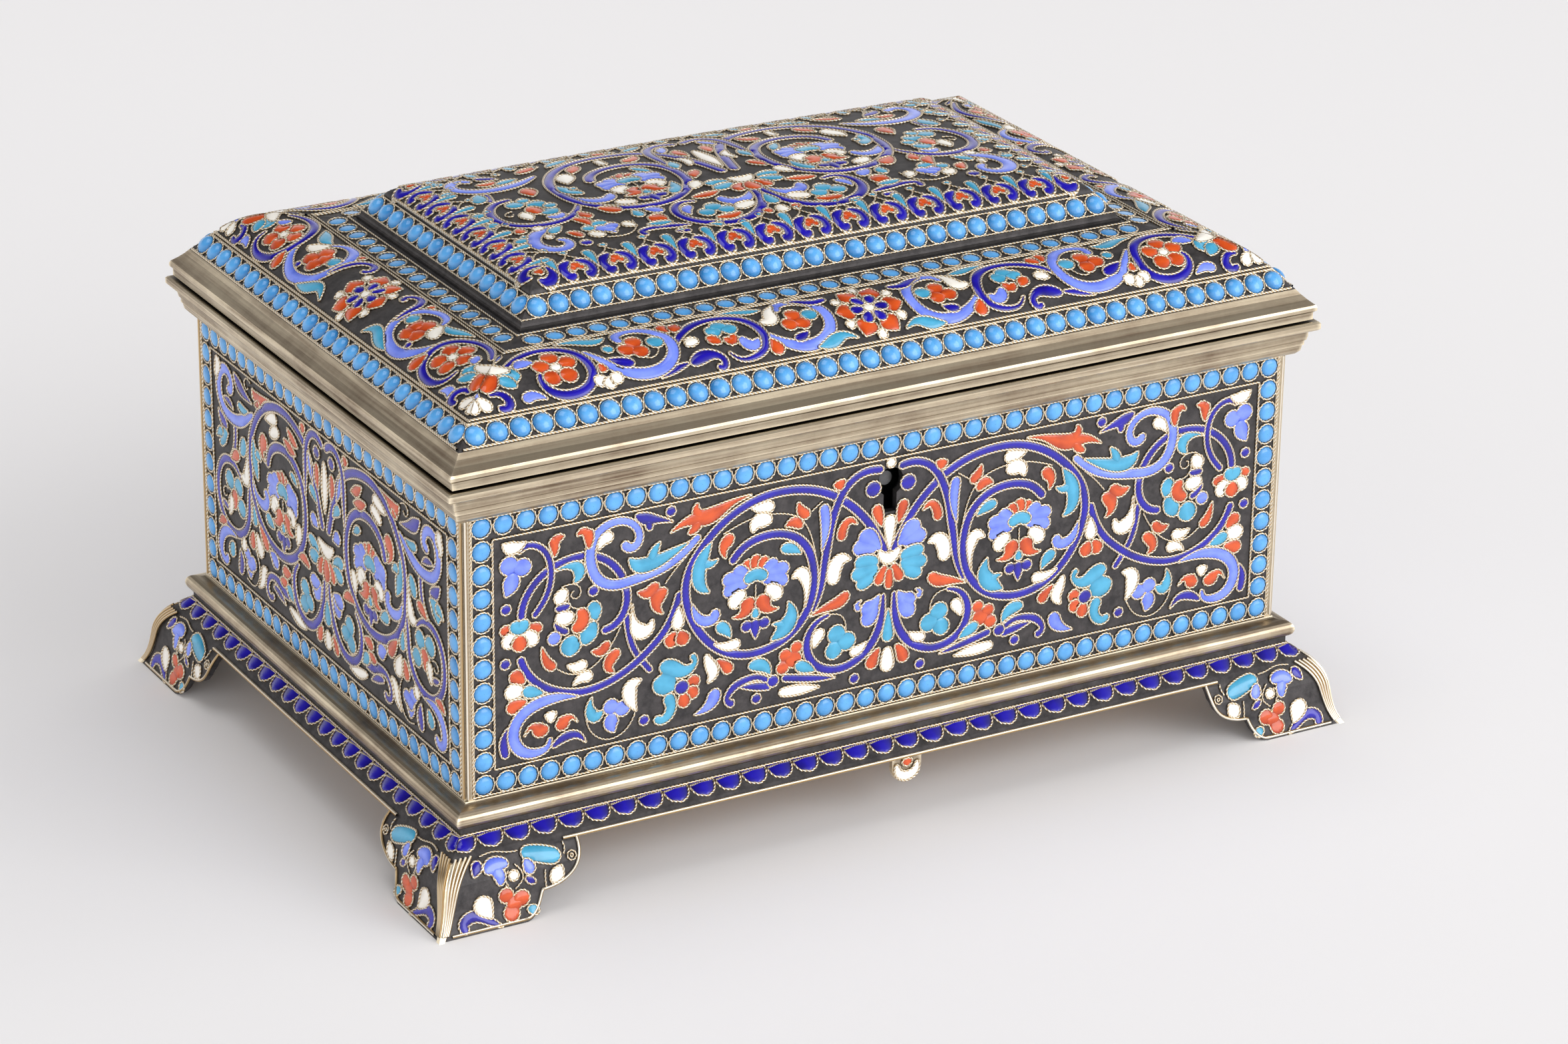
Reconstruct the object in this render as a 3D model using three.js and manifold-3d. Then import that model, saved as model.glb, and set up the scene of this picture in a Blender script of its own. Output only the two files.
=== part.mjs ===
// An enamelled silver casket: a rectangular box on four bracket feet, with a stepped and domed lid.
//
// Millimetres, +Z up. The origin is the centre of the footprint, on the table. +X runs to the right
// along the front, and -Y is the front with the keyhole. Every wall, frame and moulding is measured
// from the outer faces of the enamelled walls: an overhang is positive outside them and negative inside.
import * as THREE from 'three';
import { mergeVertices } from 'three/addons/utils/BufferGeometryUtils.js';
import Module from 'manifold-3d';

const wasm = await Module();
wasm.setup();

// Body, over the outer faces of the enamelled walls
const BODY_LENGTH = 150;
const BODY_DEPTH = 99.3;
const WALL = 1.2;

// Heights of the courses, from the table up
const FOOT_HEIGHT = 10.8;
const APRON_HEIGHT = 3.75;
const PLINTH_HEIGHT = 3.45;
const WALL_HEIGHT = 47;
const RIM_HEIGHT = 6.2;
const SEAM = 0.3;
const LID_EDGE_HEIGHT = 4.9;
const LID_BEAD_RISE = 3.1;
const BAND_RISE = 4.9;
const LEDGE_RISE = 0.6;
const RISER_HEIGHT = 1.4;
const TRAY_BEAD_RISE = 2.85;
const SHOULDER_RISE = 2.5;
const CROWN_RISE = 2.55;

// Feet and apron: one pressed sheet line, upright at the top, a knee, then a flared toe
const FOOT_SHEET = 1;
const APRON_OUT = 1.9;
const APRON_UPRIGHT = 1.15;
const KNEE_OUT = 7.3;
const KNEE_HEIGHT = 6;
const TOE_OUT = 9.2;
const FOOT_BASE = 5.9;
const FOOT_NOTCH = 9.4;
const FOOT_NOTCH_HEIGHT = 4;
const FOOT_EAR = 16.6;
const ARRIS_PROUD = 0.3;
const ARRIS_TOP_WIDTH = 3.2;
const ARRIS_TOE_WIDTH = 1.2;

// Drop under the front apron
const DROP_X = 1.2;
const DROP_WIDTH = 5.4;
const DROP_LENGTH = 4.6;
const DROP_THICK = 0.9;

// Plinth, base plate and wall corners
const TORUS_RADIUS = 1.45;
const TORUS_OUT = 2.95;
const PLINTH_INSIDE = 3.5;
const BASE_PLATE = 1.2;
const BASE_SEAT = 1.5;
const CORNER_LEG = 1.5;
const CORNER_PROUD = 0.15;
const CORNER_GROOVE = 0.5;

// Rim moulding round the mouth of the body
const RIM_OUT = 4;
const RIM_FILLET = 1.5;
const RIM_HOLLOW_OUT = 2.6;
const RIM_HOLLOW = 2.1;
const RIM_BEAD_OUT = 2.15;
const RIM_BEAD = 0.7;
const RIM_EASE = 0.3;
const RIM_STEP = 0.2;

// Lid, from its edge inwards
const LID_OUT = 3.45;
const LID_BAND_OUT = 3;
const LID_BAND = 1.2;
const LID_ROUND = 1.3;
const LID_NECK_OUT = 0.8;
const LID_BEAD_IN = 2.3;
const BAND_IN = 14.6;
const BAND_BULGE = 1.5;
const LEDGE_IN = 20;
const RISER_IN = 20.6;
const RISER_FILLET = 0.45;
const TRAY_IN = 23.4;
const SHOULDER = 7;
const LID_SHEET = 1.2;
const BEAD_SHEET = 2;
const TRAY_SHEET = 1.6;
const BEAD_PITCH = 3.8;
const LID_BEAD_RADIUS = 1.75;
const TRAY_BEAD_RADIUS = 1.65;
const BEAD_PROUD = 0.8;
const BEAD_ROOT = 0.4;

// Hinge along the back, just clear of both edges
const HINGE_LENGTH = 110;
const KNUCKLES = 11;
const KNUCKLE_RADIUS = 1.6;
const PIN_RADIUS = 0.7;
const PIN_CLEARANCE = 0.3;
const KNUCKLE_GAP = 0.3;
const LEAF_CLEARANCE = 0.35;
const HINGE_STAND_OFF = 1.9;
const LEAF_BODY_THICK = 0.8;
const LEAF_BODY_HEIGHT = 3.9;
const LEAF_LID_THICK = 1.25;
const LEAF_LID_HEIGHT = 2.5;
const LEAF_LID_LIFT = 0.1;
const PIN_HEAD_RADIUS = 1.5;

// Keyhole and lock
const KEYHOLE_DROP = 8.1;
const KEYHOLE_RADIUS = 2.4;
const KEYHOLE_SLOT = 2.4;
const KEYHOLE_LENGTH = 5.2;
const KEYHOLE_MARGIN = 0.2;
const DRILL_PIN_RADIUS = 1.2;
const DRILL_PIN_RECESS = 0.4;
const LOCK_PLATE = 0.6;
const LOCK_PLATE_HALF = 17;
const LOCK_PLATE_BELOW = 9;
const SELVEDGE = 0.8;
const CAP_HALF = 13;
const CAP_DEPTH = 4.6;
const CAP_WALL = 0.6;
const CAP_MARGIN = 1.6;
const RIVET_RADIUS = 0.9;
const RIVET_HEIGHT = 0.5;
const STAPLE_THICK = 2;
const STAPLE_WIDTH = 3.2;
const STAPLE_REACH = 5.3;
const STAPLE_PLATE_HALF = 6;
const STAPLE_PLATE = 1;
const STAPLE_CLEARANCE = 0.5;
const SLOT_END_CLEARANCE = 0.4;
const STAPLE_LOOP = 0.7;
const EYE_HALF_HEIGHT = 1.4;
const EYE_RISE = 2.4;
const BOLT_THICK = 1.2;
const BOLT_NOSE = 1.8;
const BOLT_LENGTH = 9.6;
const BOLT_TAIL = 6;
const BOLT_BIT_REACH = 4.2;
const BOLT_CLEARANCE = 0.3;
const BOLT_GAP = 0.6;
const TALON_RADIUS = 1.3;
const SPRING_THICK = 0.4;
const SPRING_END = 2;
const RAIL_SHORT = 1.5;

// Levels and places worked out from the sizes above
const HALF_LENGTH = BODY_LENGTH / 2;
const HALF_DEPTH = BODY_DEPTH / 2;
const PLINTH_FOOT = FOOT_HEIGHT + APRON_HEIGHT;
const WALL_FOOT = PLINTH_FOOT + PLINTH_HEIGHT;
const WALL_TOP = WALL_FOOT + WALL_HEIGHT;
const RIM_TOP = WALL_TOP + RIM_HEIGHT;
const LID_FOOT = RIM_TOP + SEAM;
const LID_EDGE_TOP = LID_FOOT + LID_EDGE_HEIGHT;
const BAND_FOOT = LID_EDGE_TOP + LID_BEAD_RISE;
const BAND_TOP = BAND_FOOT + BAND_RISE;
const LEDGE_TOP = BAND_TOP + LEDGE_RISE;
const RISER_TOP = LEDGE_TOP + RISER_HEIGHT;
const TRAY_TOP = RISER_TOP + TRAY_BEAD_RISE;
const RISER_BACK = RISER_IN + TRAY_SHEET;
const HINGE_Y = HALF_DEPTH + RIM_OUT + HINGE_STAND_OFF;
const HINGE_Z = RIM_TOP + SEAM / 2;
const KEYHOLE_Z = WALL_TOP - KEYHOLE_DROP;
const WALL_INNER_Y = -(HALF_DEPTH - WALL);
const CAP_FRONT_Y = WALL_INNER_Y + LOCK_PLATE;
const CAP_BACK_Y = CAP_FRONT_Y + CAP_DEPTH;
const SELVEDGE_FOOT = RIM_TOP - SELVEDGE;
const STAPLE_FRONT_Y = CAP_FRONT_Y + STAPLE_CLEARANCE;
const STAPLE_MID_Y = STAPLE_FRONT_Y + STAPLE_WIDTH / 2;
const STAPLE_FOOT = RIM_TOP - STAPLE_REACH;
const BOLT_Z = STAPLE_FOOT + EYE_RISE;

const SIDE_NAMES = ['front', 'right', 'back', 'left'];
const TRAY_LONG_STEPS = 5;
const TRAY_SHORT_STEPS = 3;
const CORNERS = [[-1, -1], [1, -1], [1, 1], [-1, 1]];

const finish = (color, metalness, roughness) =>
  new THREE.MeshStandardMaterial({ color, metalness, roughness });
const ENAMEL = finish(0x4d5a8c, 0.1, 0.25);
const SILVER = finish(0x9a8e7e, 0.9, 0.35);
const GILT = finish(0xc9ad7c, 0.9, 0.35);
const STEEL = finish(0x6f7276, 0.9, 0.4);

/** Turns vertices and faces into a geometry. */
function meshOf(vertices, faces) {
  const geometry = new THREE.BufferGeometry();
  geometry.setAttribute('position', new THREE.Float32BufferAttribute(vertices.flat(), 3));
  geometry.setIndex(faces.flat());
  return geometry;
}

/** Gives an outline's points, anticlockwise, without a repeat of the first. */
function outlinePoints(shape, divisions = 6) {
  const points = shape.getPoints(divisions).filter((p, i, all) => i === 0 || p.distanceTo(all[i - 1]) > 1e-4);
  if (points[0].distanceTo(points.at(-1)) < 1e-4) points.pop();
  return THREE.ShapeUtils.isClockWise(points) ? points.reverse() : points;
}

/** Places a point of a moulding's outline, overhang and height, on one corner of the casket. */
function atCorner([sx, sy], point) {
  return [sx * (HALF_LENGTH + point.x), sy * (HALF_DEPTH + point.x), point.y];
}

/** Joins two neighbouring copies of an outline of n points by a band of faces. */
function bandFaces(from, to, n) {
  const faces = [];
  for (let i = 0; i < n; i += 1) {
    const j = (i + 1) % n;
    faces.push([from + i, to + i, to + j], [from + i, to + j, from + j]);
  }
  return faces;
}

/** Carries a moulding's outline round all four sides, mitred at the corners. */
function mitredFrame(shape, divisions) {
  const outline = outlinePoints(shape, divisions);
  const n = outline.length;
  const vertices = CORNERS.flatMap((corner) => outline.map((p) => atCorner(corner, p)));
  const faces = CORNERS.flatMap((corner, k) => bandFaces(k * n, ((k + 1) % 4) * n, n));
  return meshOf(vertices, faces);
}

/** Carries a moulding's outline along one side only, with its ends cut on the mitres. */
function mitredLength(side, shape, divisions) {
  const outline = outlinePoints(shape, divisions);
  const n = outline.length;
  const ends = [CORNERS[side], CORNERS[(side + 1) % 4]];
  const vertices = ends.flatMap((corner) => outline.map((p) => atCorner(corner, p)));
  const cap = THREE.ShapeUtils.triangulateShape(outline, []);
  const faces = bandFaces(0, n, n);
  for (const [a, b, c] of cap) faces.push([a, b, c], [n + a, n + c, n + b]);
  return meshOf(vertices, faces);
}

/** Makes a closed solid from a geometry whose corners may be split. */
function solidOf(geometry) {
  const bare = geometry.clone();
  for (const key of Object.keys(bare.attributes)) if (key !== 'position') bare.deleteAttribute(key);
  const merged = mergeVertices(bare, 1e-4);
  const mesh = new wasm.Mesh({
    numProp: 3,
    vertProperties: new Float32Array(merged.attributes.position.array),
    triVerts: new Uint32Array(merged.index.array),
  });
  return new wasm.Manifold(mesh);
}

/** Turns a solid back into a geometry. */
function geometryOf(solid) {
  const { vertProperties, triVerts } = solid.getMesh();
  const geometry = new THREE.BufferGeometry();
  geometry.setAttribute('position', new THREE.BufferAttribute(new Float32Array(vertProperties), 3));
  geometry.setIndex(new THREE.BufferAttribute(new Uint32Array(triVerts), 1));
  return geometry;
}

/** A block between two corners, whichever of the two is the lower. */
function block(x0, x1, y0, y1, z0, z1) {
  const box = new THREE.BoxGeometry(Math.abs(x1 - x0), Math.abs(y1 - y0), Math.abs(z1 - z0));
  return box.translate((x0 + x1) / 2, (y0 + y1) / 2, (z0 + z1) / 2);
}

/** A plate whose outline is drawn in X and Z, standing between two values of Y. */
function uprightPlate(shape, y0, y1, divisions = 6) {
  const plate = new THREE.ExtrudeGeometry(shape, {
    depth: Math.abs(y1 - y0),
    bevelEnabled: false,
    curveSegments: divisions,
  });
  return plate.rotateX(Math.PI / 2).translate(0, Math.max(y0, y1), 0);
}

/** A plate whose outline is drawn in Y and Z, standing between two values of X. */
function endPlate(shape, x0, x1, divisions = 6) {
  const plate = new THREE.ExtrudeGeometry(shape, {
    depth: Math.abs(x1 - x0),
    bevelEnabled: false,
    curveSegments: divisions,
  });
  plate.rotateX(Math.PI / 2).rotateZ(Math.PI / 2);
  return plate.translate(Math.min(x0, x1), 0, 0);
}

/** A round bar along X. */
function barAlongX(radius, x0, x1, y, z, sides = 12) {
  const bar = new THREE.CylinderGeometry(radius, radius, x1 - x0, sides);
  return bar.rotateZ(Math.PI / 2).translate((x0 + x1) / 2, y, z);
}

const casket = new THREE.Group();

/** Adds one named piece to the casket. */
function add(name, geometry, material) {
  const mesh = new THREE.Mesh(geometry, material);
  mesh.name = name;
  casket.add(mesh);
}

// Knee line of the apron and feet: overhang and height, from the plinth down to the table
const kneeLine = (() => {
  const kneeTop = PLINTH_FOOT - APRON_UPRIGHT;
  const out = KNEE_OUT - APRON_OUT;
  const fall = kneeTop - KNEE_HEIGHT;
  const flare = TOE_OUT - KNEE_OUT;
  const line = new THREE.Path();
  line.moveTo(APRON_OUT, PLINTH_FOOT);
  line.lineTo(APRON_OUT, kneeTop);
  line.bezierCurveTo(
    APRON_OUT + out / 2, kneeTop - 0.27 * fall,
    APRON_OUT + 0.93 * out, KNEE_HEIGHT + 0.48 * fall,
    KNEE_OUT, KNEE_HEIGHT,
  );
  line.bezierCurveTo(
    KNEE_OUT + 0.15 * flare, KNEE_HEIGHT * 0.65,
    KNEE_OUT + 0.35 * flare, KNEE_HEIGHT * 0.25,
    TOE_OUT, 0,
  );
  return line.getPoints(6);
})();

/** Overhang of the knee line at a height. */
function kneeOut(height) {
  const below = kneeLine.findIndex((p) => p.y <= height);
  if (below <= 0) return kneeLine[0].x;
  const [a, b] = [kneeLine[below - 1], kneeLine[below]];
  return a.x + ((b.x - a.x) * (a.y - height)) / (a.y - b.y);
}

/** Section of a sheet that follows the knee line between two heights, level at both ends. */
function kneeSheet(low, high, inner, outer) {
  const between = kneeLine.filter((p) => p.y > low && p.y < high).map((p) => p.y);
  const heights = [high, ...between, low];
  const points = heights.map((z) => new THREE.Vector2(kneeOut(z) + outer, z));
  for (const z of heights.reverse()) points.push(new THREE.Vector2(kneeOut(z) + inner, z));
  return new THREE.Shape(points);
}

// Apron: the strip of cobalt scales between the feet, one mitred frame
add('apron', mitredFrame(kneeSheet(FOOT_HEIGHT, PLINTH_FOOT, -FOOT_SHEET, 0)), ENAMEL);

// Feet: the same sheet carried down to a flared toe, cut to an ear, a notch and a lobe on both faces
const footFrame = solidOf(mitredFrame(kneeSheet(0, FOOT_HEIGHT, -FOOT_SHEET, 0)));
const arrisFrame = solidOf(mitredFrame(kneeSheet(0, FOOT_HEIGHT, 0, ARRIS_PROUD)));
const REACH = 1.5 * TOE_OUT;

/** Outline of one face of a foot: distance in from the body's corner, and height. */
function footOutline() {
  const lobe = FOOT_NOTCH - FOOT_BASE;
  const ear = FOOT_EAR - FOOT_NOTCH;
  const outline = new THREE.Shape();
  outline.moveTo(-REACH, -1);
  outline.lineTo(FOOT_BASE, -1);
  outline.lineTo(FOOT_BASE, 0);
  outline.bezierCurveTo(
    FOOT_BASE + 0.57 * lobe, 0.08 * FOOT_NOTCH_HEIGHT,
    FOOT_NOTCH - 0.2 * lobe, FOOT_NOTCH_HEIGHT / 2,
    FOOT_NOTCH, FOOT_NOTCH_HEIGHT,
  );
  outline.bezierCurveTo(
    FOOT_NOTCH + ear / 2, FOOT_NOTCH_HEIGHT,
    FOOT_EAR, FOOT_NOTCH_HEIGHT + 0.24 * (FOOT_HEIGHT - FOOT_NOTCH_HEIGHT),
    FOOT_EAR, FOOT_HEIGHT,
  );
  outline.lineTo(FOOT_EAR, FOOT_HEIGHT + 1);
  outline.lineTo(-REACH, FOOT_HEIGHT + 1);
  return outline;
}

/** Turns a solid made for the front left corner into the one for another corner. */
function toCorner(solid, [sx, sy]) {
  return solid.scale([-sx, -sy, 1]);
}

const footFace = footOutline();
const sheetBack = FOOT_SHEET + 1;
const frontFace = uprightPlate(footFace, -REACH, sheetBack).translate(-HALF_LENGTH, -HALF_DEPTH, 0);
const sideFace = endPlate(footFace, -REACH, sheetBack).translate(-HALF_LENGTH, -HALF_DEPTH, 0);
const faceCutter = solidOf(frontFace).add(solidOf(sideFace));

// Tapered wedge on the corner's diagonal, which leaves only the reeded strip over the foot's mitre
const wedgeShape = new THREE.Shape([
  new THREE.Vector2(-ARRIS_TOE_WIDTH / 2, -1),
  new THREE.Vector2(ARRIS_TOE_WIDTH / 2, -1),
  new THREE.Vector2(ARRIS_TOP_WIDTH / 2, FOOT_HEIGHT + 1),
  new THREE.Vector2(-ARRIS_TOP_WIDTH / 2, FOOT_HEIGHT + 1),
]);
const wedgePlate = uprightPlate(wedgeShape, -2 * REACH, 0).rotateZ(-Math.PI / 4);
const wedge = solidOf(wedgePlate.translate(-HALF_LENGTH, -HALF_DEPTH, 0));

const CORNER_NAMES = ['front_left', 'front_right', 'back_right', 'back_left'];
CORNERS.forEach((corner, k) => {
  const foot = footFrame.intersect(toCorner(faceCutter, corner));
  const arris = arrisFrame.intersect(toCorner(wedge, corner));
  add(`foot_${CORNER_NAMES[k]}`, geometryOf(foot), ENAMEL);
  add(`foot_arris_${CORNER_NAMES[k]}`, geometryOf(arris), SILVER);
});

// Drop: a small rounded tab soldered under the middle of the front apron
const drop = new THREE.Shape();
drop.moveTo(-DROP_WIDTH / 2, 0);
drop.lineTo(-DROP_WIDTH / 2, -(DROP_LENGTH - DROP_WIDTH / 2));
drop.absarc(0, -(DROP_LENGTH - DROP_WIDTH / 2), DROP_WIDTH / 2, Math.PI, 2 * Math.PI, false);
drop.lineTo(DROP_WIDTH / 2, 0);
const dropFront = -(HALF_DEPTH + kneeOut(FOOT_HEIGHT));
add(
  'apron_drop',
  uprightPlate(drop, dropFront, dropFront + DROP_THICK).translate(DROP_X, 0, FOOT_HEIGHT),
  ENAMEL,
);

// Plinth: a half-round torus under a small hollow, with a seat inside for the base plate
const plinth = new THREE.Shape();
const torusMid = PLINTH_FOOT + TORUS_RADIUS;
const torusIn = TORUS_OUT - TORUS_RADIUS;
plinth.moveTo(-PLINTH_INSIDE, PLINTH_FOOT);
plinth.lineTo(torusIn, PLINTH_FOOT);
plinth.absarc(torusIn, torusMid, TORUS_RADIUS, -Math.PI / 2, Math.PI / 2, false);
plinth.quadraticCurveTo(CORNER_PROUD, torusMid + TORUS_RADIUS, CORNER_PROUD, WALL_FOOT);
plinth.lineTo(-BASE_SEAT, WALL_FOOT);
plinth.lineTo(-BASE_SEAT, WALL_FOOT - BASE_PLATE);
plinth.lineTo(-PLINTH_INSIDE, WALL_FOOT - BASE_PLATE);
add('plinth_moulding', mitredFrame(plinth, 5), SILVER);

const plateX = HALF_LENGTH - BASE_SEAT;
const plateY = HALF_DEPTH - BASE_SEAT;
add('base_plate', block(-plateX, plateX, -plateY, plateY, WALL_FOOT - BASE_PLATE, WALL_FOOT), GILT);

/** Keyhole outline about the keyhole's own centre, grown by a margin. */
function keyhole(margin, Outline) {
  const radius = KEYHOLE_RADIUS + margin;
  const half = KEYHOLE_SLOT / 2 + margin;
  const foot = -(KEYHOLE_LENGTH + margin);
  const shoulder = Math.asin(half / radius);
  const hole = new Outline();
  hole.moveTo(-half, KEYHOLE_Z + foot);
  hole.lineTo(half, KEYHOLE_Z + foot);
  hole.absarc(0, KEYHOLE_Z, radius, shoulder - Math.PI / 2, 1.5 * Math.PI - shoulder, false);
  return hole;
}

/** A rectangle in X and Z. */
function rectangle(halfWidth, low, high) {
  const shape = new THREE.Shape();
  shape.moveTo(-halfWidth, low);
  shape.lineTo(halfWidth, low);
  shape.lineTo(halfWidth, high);
  shape.lineTo(-halfWidth, high);
  return shape;
}

// Walls: four enamelled plates between the corner strips, with the keyhole cut in the front one
const frontWall = rectangle(HALF_LENGTH - CORNER_LEG, WALL_FOOT, WALL_TOP);
frontWall.holes.push(keyhole(0, THREE.Path));
const wallFace = -HALF_DEPTH;
add('front_panel', uprightPlate(frontWall, wallFace, WALL_INNER_Y, 8), ENAMEL);
const longX = HALF_LENGTH - CORNER_LEG;
const shortY = HALF_DEPTH - CORNER_LEG;
add('back_panel', block(-longX, longX, -WALL_INNER_Y, HALF_DEPTH, WALL_FOOT, WALL_TOP), ENAMEL);
const sideInner = HALF_LENGTH - WALL;
add('left_panel', block(-HALF_LENGTH, -sideInner, -shortY, shortY, WALL_FOOT, WALL_TOP), ENAMEL);
add('right_panel', block(sideInner, HALF_LENGTH, -shortY, shortY, WALL_FOOT, WALL_TOP), ENAMEL);

// Corner strips: upright silver mounts over the wall joints, each with a groove down its arris
const cornerSection = new THREE.Shape([
  new THREE.Vector2(CORNER_GROOVE - CORNER_PROUD, -CORNER_PROUD),
  new THREE.Vector2(CORNER_LEG, -CORNER_PROUD),
  new THREE.Vector2(CORNER_LEG, WALL),
  new THREE.Vector2(WALL, CORNER_LEG),
  new THREE.Vector2(-CORNER_PROUD, CORNER_LEG),
  new THREE.Vector2(-CORNER_PROUD, CORNER_GROOVE - CORNER_PROUD),
  new THREE.Vector2(CORNER_GROOVE / 2, CORNER_GROOVE / 2),
]);
const cornerPost = new THREE.ExtrudeGeometry(cornerSection, { depth: WALL_HEIGHT, bevelEnabled: false });
const cornerStrip = solidOf(cornerPost.translate(-HALF_LENGTH, -HALF_DEPTH, WALL_FOOT));
CORNERS.forEach((corner, k) => {
  add(`corner_strip_${CORNER_NAMES[k]}`, geometryOf(toCorner(cornerStrip, corner)), SILVER);
});

// Rim moulding: ovolo, thin bead, hollow and a square fillet that the lid closes on
const rim = new THREE.Shape();
const beadFoot = RIM_TOP - RIM_FILLET - RIM_HOLLOW - RIM_BEAD;
const hollowFoot = RIM_TOP - RIM_FILLET - RIM_HOLLOW;
const filletFoot = RIM_TOP - RIM_FILLET;
rim.moveTo(-WALL, WALL_TOP);
rim.lineTo(CORNER_PROUD, WALL_TOP);
rim.quadraticCurveTo(RIM_BEAD_OUT - RIM_STEP, WALL_TOP, RIM_BEAD_OUT - RIM_STEP, beadFoot);
rim.lineTo(RIM_BEAD_OUT, beadFoot);
rim.lineTo(RIM_BEAD_OUT, hollowFoot);
rim.quadraticCurveTo(RIM_HOLLOW_OUT, hollowFoot, RIM_HOLLOW_OUT, filletFoot);
rim.lineTo(RIM_OUT - RIM_EASE, filletFoot);
rim.lineTo(RIM_OUT, filletFoot + RIM_EASE);
rim.lineTo(RIM_OUT, RIM_TOP - RIM_EASE);
rim.lineTo(RIM_OUT - RIM_EASE, RIM_TOP);
rim.lineTo(-WALL, RIM_TOP);
add('rim_moulding', mitredFrame(rim, 3), SILVER);

// Lid edge: an upright band, a round nosing and a long sloping cavetto
const lidEdge = new THREE.Shape();
const nosingFoot = LID_FOOT + LID_BAND;
const nosingTop = nosingFoot + LID_ROUND;
const nosingEase = LID_ROUND * 0.3;
lidEdge.moveTo(-WALL, LID_FOOT);
lidEdge.lineTo(LID_BAND_OUT, LID_FOOT);
lidEdge.lineTo(LID_BAND_OUT, nosingFoot);
lidEdge.lineTo(LID_OUT, nosingFoot + nosingEase);
lidEdge.lineTo(LID_OUT, nosingTop - nosingEase);
lidEdge.lineTo(LID_OUT - nosingEase / 2, nosingTop);
lidEdge.quadraticCurveTo(
  LID_NECK_OUT + (LID_OUT - LID_NECK_OUT) / 3, nosingTop + (LID_EDGE_TOP - nosingTop) / 2,
  LID_NECK_OUT, LID_EDGE_TOP,
);
lidEdge.lineTo(-WALL, LID_EDGE_TOP);
add('lid_edge_moulding', mitredFrame(lidEdge, 3), SILVER);

/** One domed bead on its own axis, upright, with a root that sinks into its bed. */
function domedBead(radius) {
  const profile = [
    new THREE.Vector2(0, -BEAD_ROOT),
    new THREE.Vector2(radius * 0.8, -BEAD_ROOT),
    new THREE.Vector2(radius, 0),
    new THREE.Vector2(radius * 0.62, BEAD_PROUD * 0.75),
    new THREE.Vector2(0, BEAD_PROUD),
  ];
  return solidOf(new THREE.LatheGeometry(profile, 6).rotateX(Math.PI / 2));
}

/** Sloping frame between two levels, with a row of domed beads along the middle of each side. */
function beadCourse(footOut, foot, topOut, top, sheet, radius) {
  const section = new THREE.Shape();
  section.moveTo(footOut, foot);
  section.lineTo(topOut, top);
  section.lineTo(topOut - sheet, top);
  section.lineTo(footOut - sheet, foot);
  const middle = new THREE.Vector2((footOut + topOut) / 2, (foot + top) / 2);
  const tilt = THREE.MathUtils.radToDeg(Math.atan2(top - foot, footOut - topOut));
  const bead = domedBead(radius).rotate([tilt, 0, 0]);
  const pieces = [solidOf(mitredFrame(section))];
  for (let side = 0; side < 4; side += 1) {
    const from = new THREE.Vector3(...atCorner(CORNERS[side], middle));
    const to = new THREE.Vector3(...atCorner(CORNERS[(side + 1) % 4], middle));
    const count = Math.round(from.distanceTo(to) / BEAD_PITCH);
    const turned = bead.rotate([0, 0, 90 * side]);
    for (let i = 0; i < count; i += 1) {
      const place = from.clone().lerp(to, (i + 0.5) / count);
      pieces.push(turned.translate(place.toArray()));
    }
  }
  return geometryOf(wasm.Manifold.union(pieces));
}

// Lower bead course: the sloping bed of the row of domed beads round the lid
add(
  'lid_bead_course',
  beadCourse(LID_NECK_OUT, LID_EDGE_TOP, -LID_BEAD_IN, BAND_FOOT, BEAD_SHEET, LID_BEAD_RADIUS),
  ENAMEL,
);

// Scroll band: four convex enamelled lengths, mitred at the corners of the lid
const scrollBand = new THREE.Shape();
const bandMidOut = -(LID_BEAD_IN + BAND_IN) / 2;
const bandMidZ = (BAND_FOOT + BAND_TOP) / 2;
scrollBand.moveTo(-LID_BEAD_IN, BAND_FOOT);
scrollBand.quadraticCurveTo(bandMidOut + BAND_BULGE, bandMidZ + 2 * BAND_BULGE, -BAND_IN, BAND_TOP);
scrollBand.lineTo(-BAND_IN, BAND_TOP - LID_SHEET);
scrollBand.quadraticCurveTo(
  bandMidOut + BAND_BULGE / 2, bandMidZ + 2 * BAND_BULGE - LID_SHEET,
  -(LID_BEAD_IN + BEAD_SHEET), BAND_FOOT,
);
SIDE_NAMES.forEach((name, side) => {
  add(`lid_band_${name}`, mitredLength(side, scrollBand, 6), ENAMEL);
});

// Ledge: the near flat shelf of flat ovals that the raised tray stands on
const ledge = new THREE.Shape();
ledge.moveTo(-BAND_IN, BAND_TOP);
ledge.lineTo(-LEDGE_IN, LEDGE_TOP);
ledge.lineTo(-RISER_BACK, LEDGE_TOP);
ledge.lineTo(-RISER_BACK, LEDGE_TOP - LID_SHEET);
ledge.lineTo(-BAND_IN, BAND_TOP - LID_SHEET);
add('lid_ledge', mitredFrame(ledge), ENAMEL);

// Riser: a thin fillet and a cavetto that lift the tray off the ledge
const riser = new THREE.Shape();
riser.moveTo(-LEDGE_IN, LEDGE_TOP);
riser.lineTo(-LEDGE_IN, LEDGE_TOP + RISER_FILLET);
riser.quadraticCurveTo(-RISER_IN, LEDGE_TOP + RISER_FILLET, -RISER_IN, RISER_TOP);
riser.lineTo(-RISER_BACK, RISER_TOP);
riser.lineTo(-RISER_BACK, LEDGE_TOP);
add('tray_riser', mitredFrame(riser, 3), SILVER);

// Upper bead course, round the tray
add(
  'tray_bead_course',
  beadCourse(-RISER_IN, RISER_TOP, -TRAY_IN, TRAY_TOP, TRAY_SHEET, TRAY_BEAD_RADIUS),
  ENAMEL,
);

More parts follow.
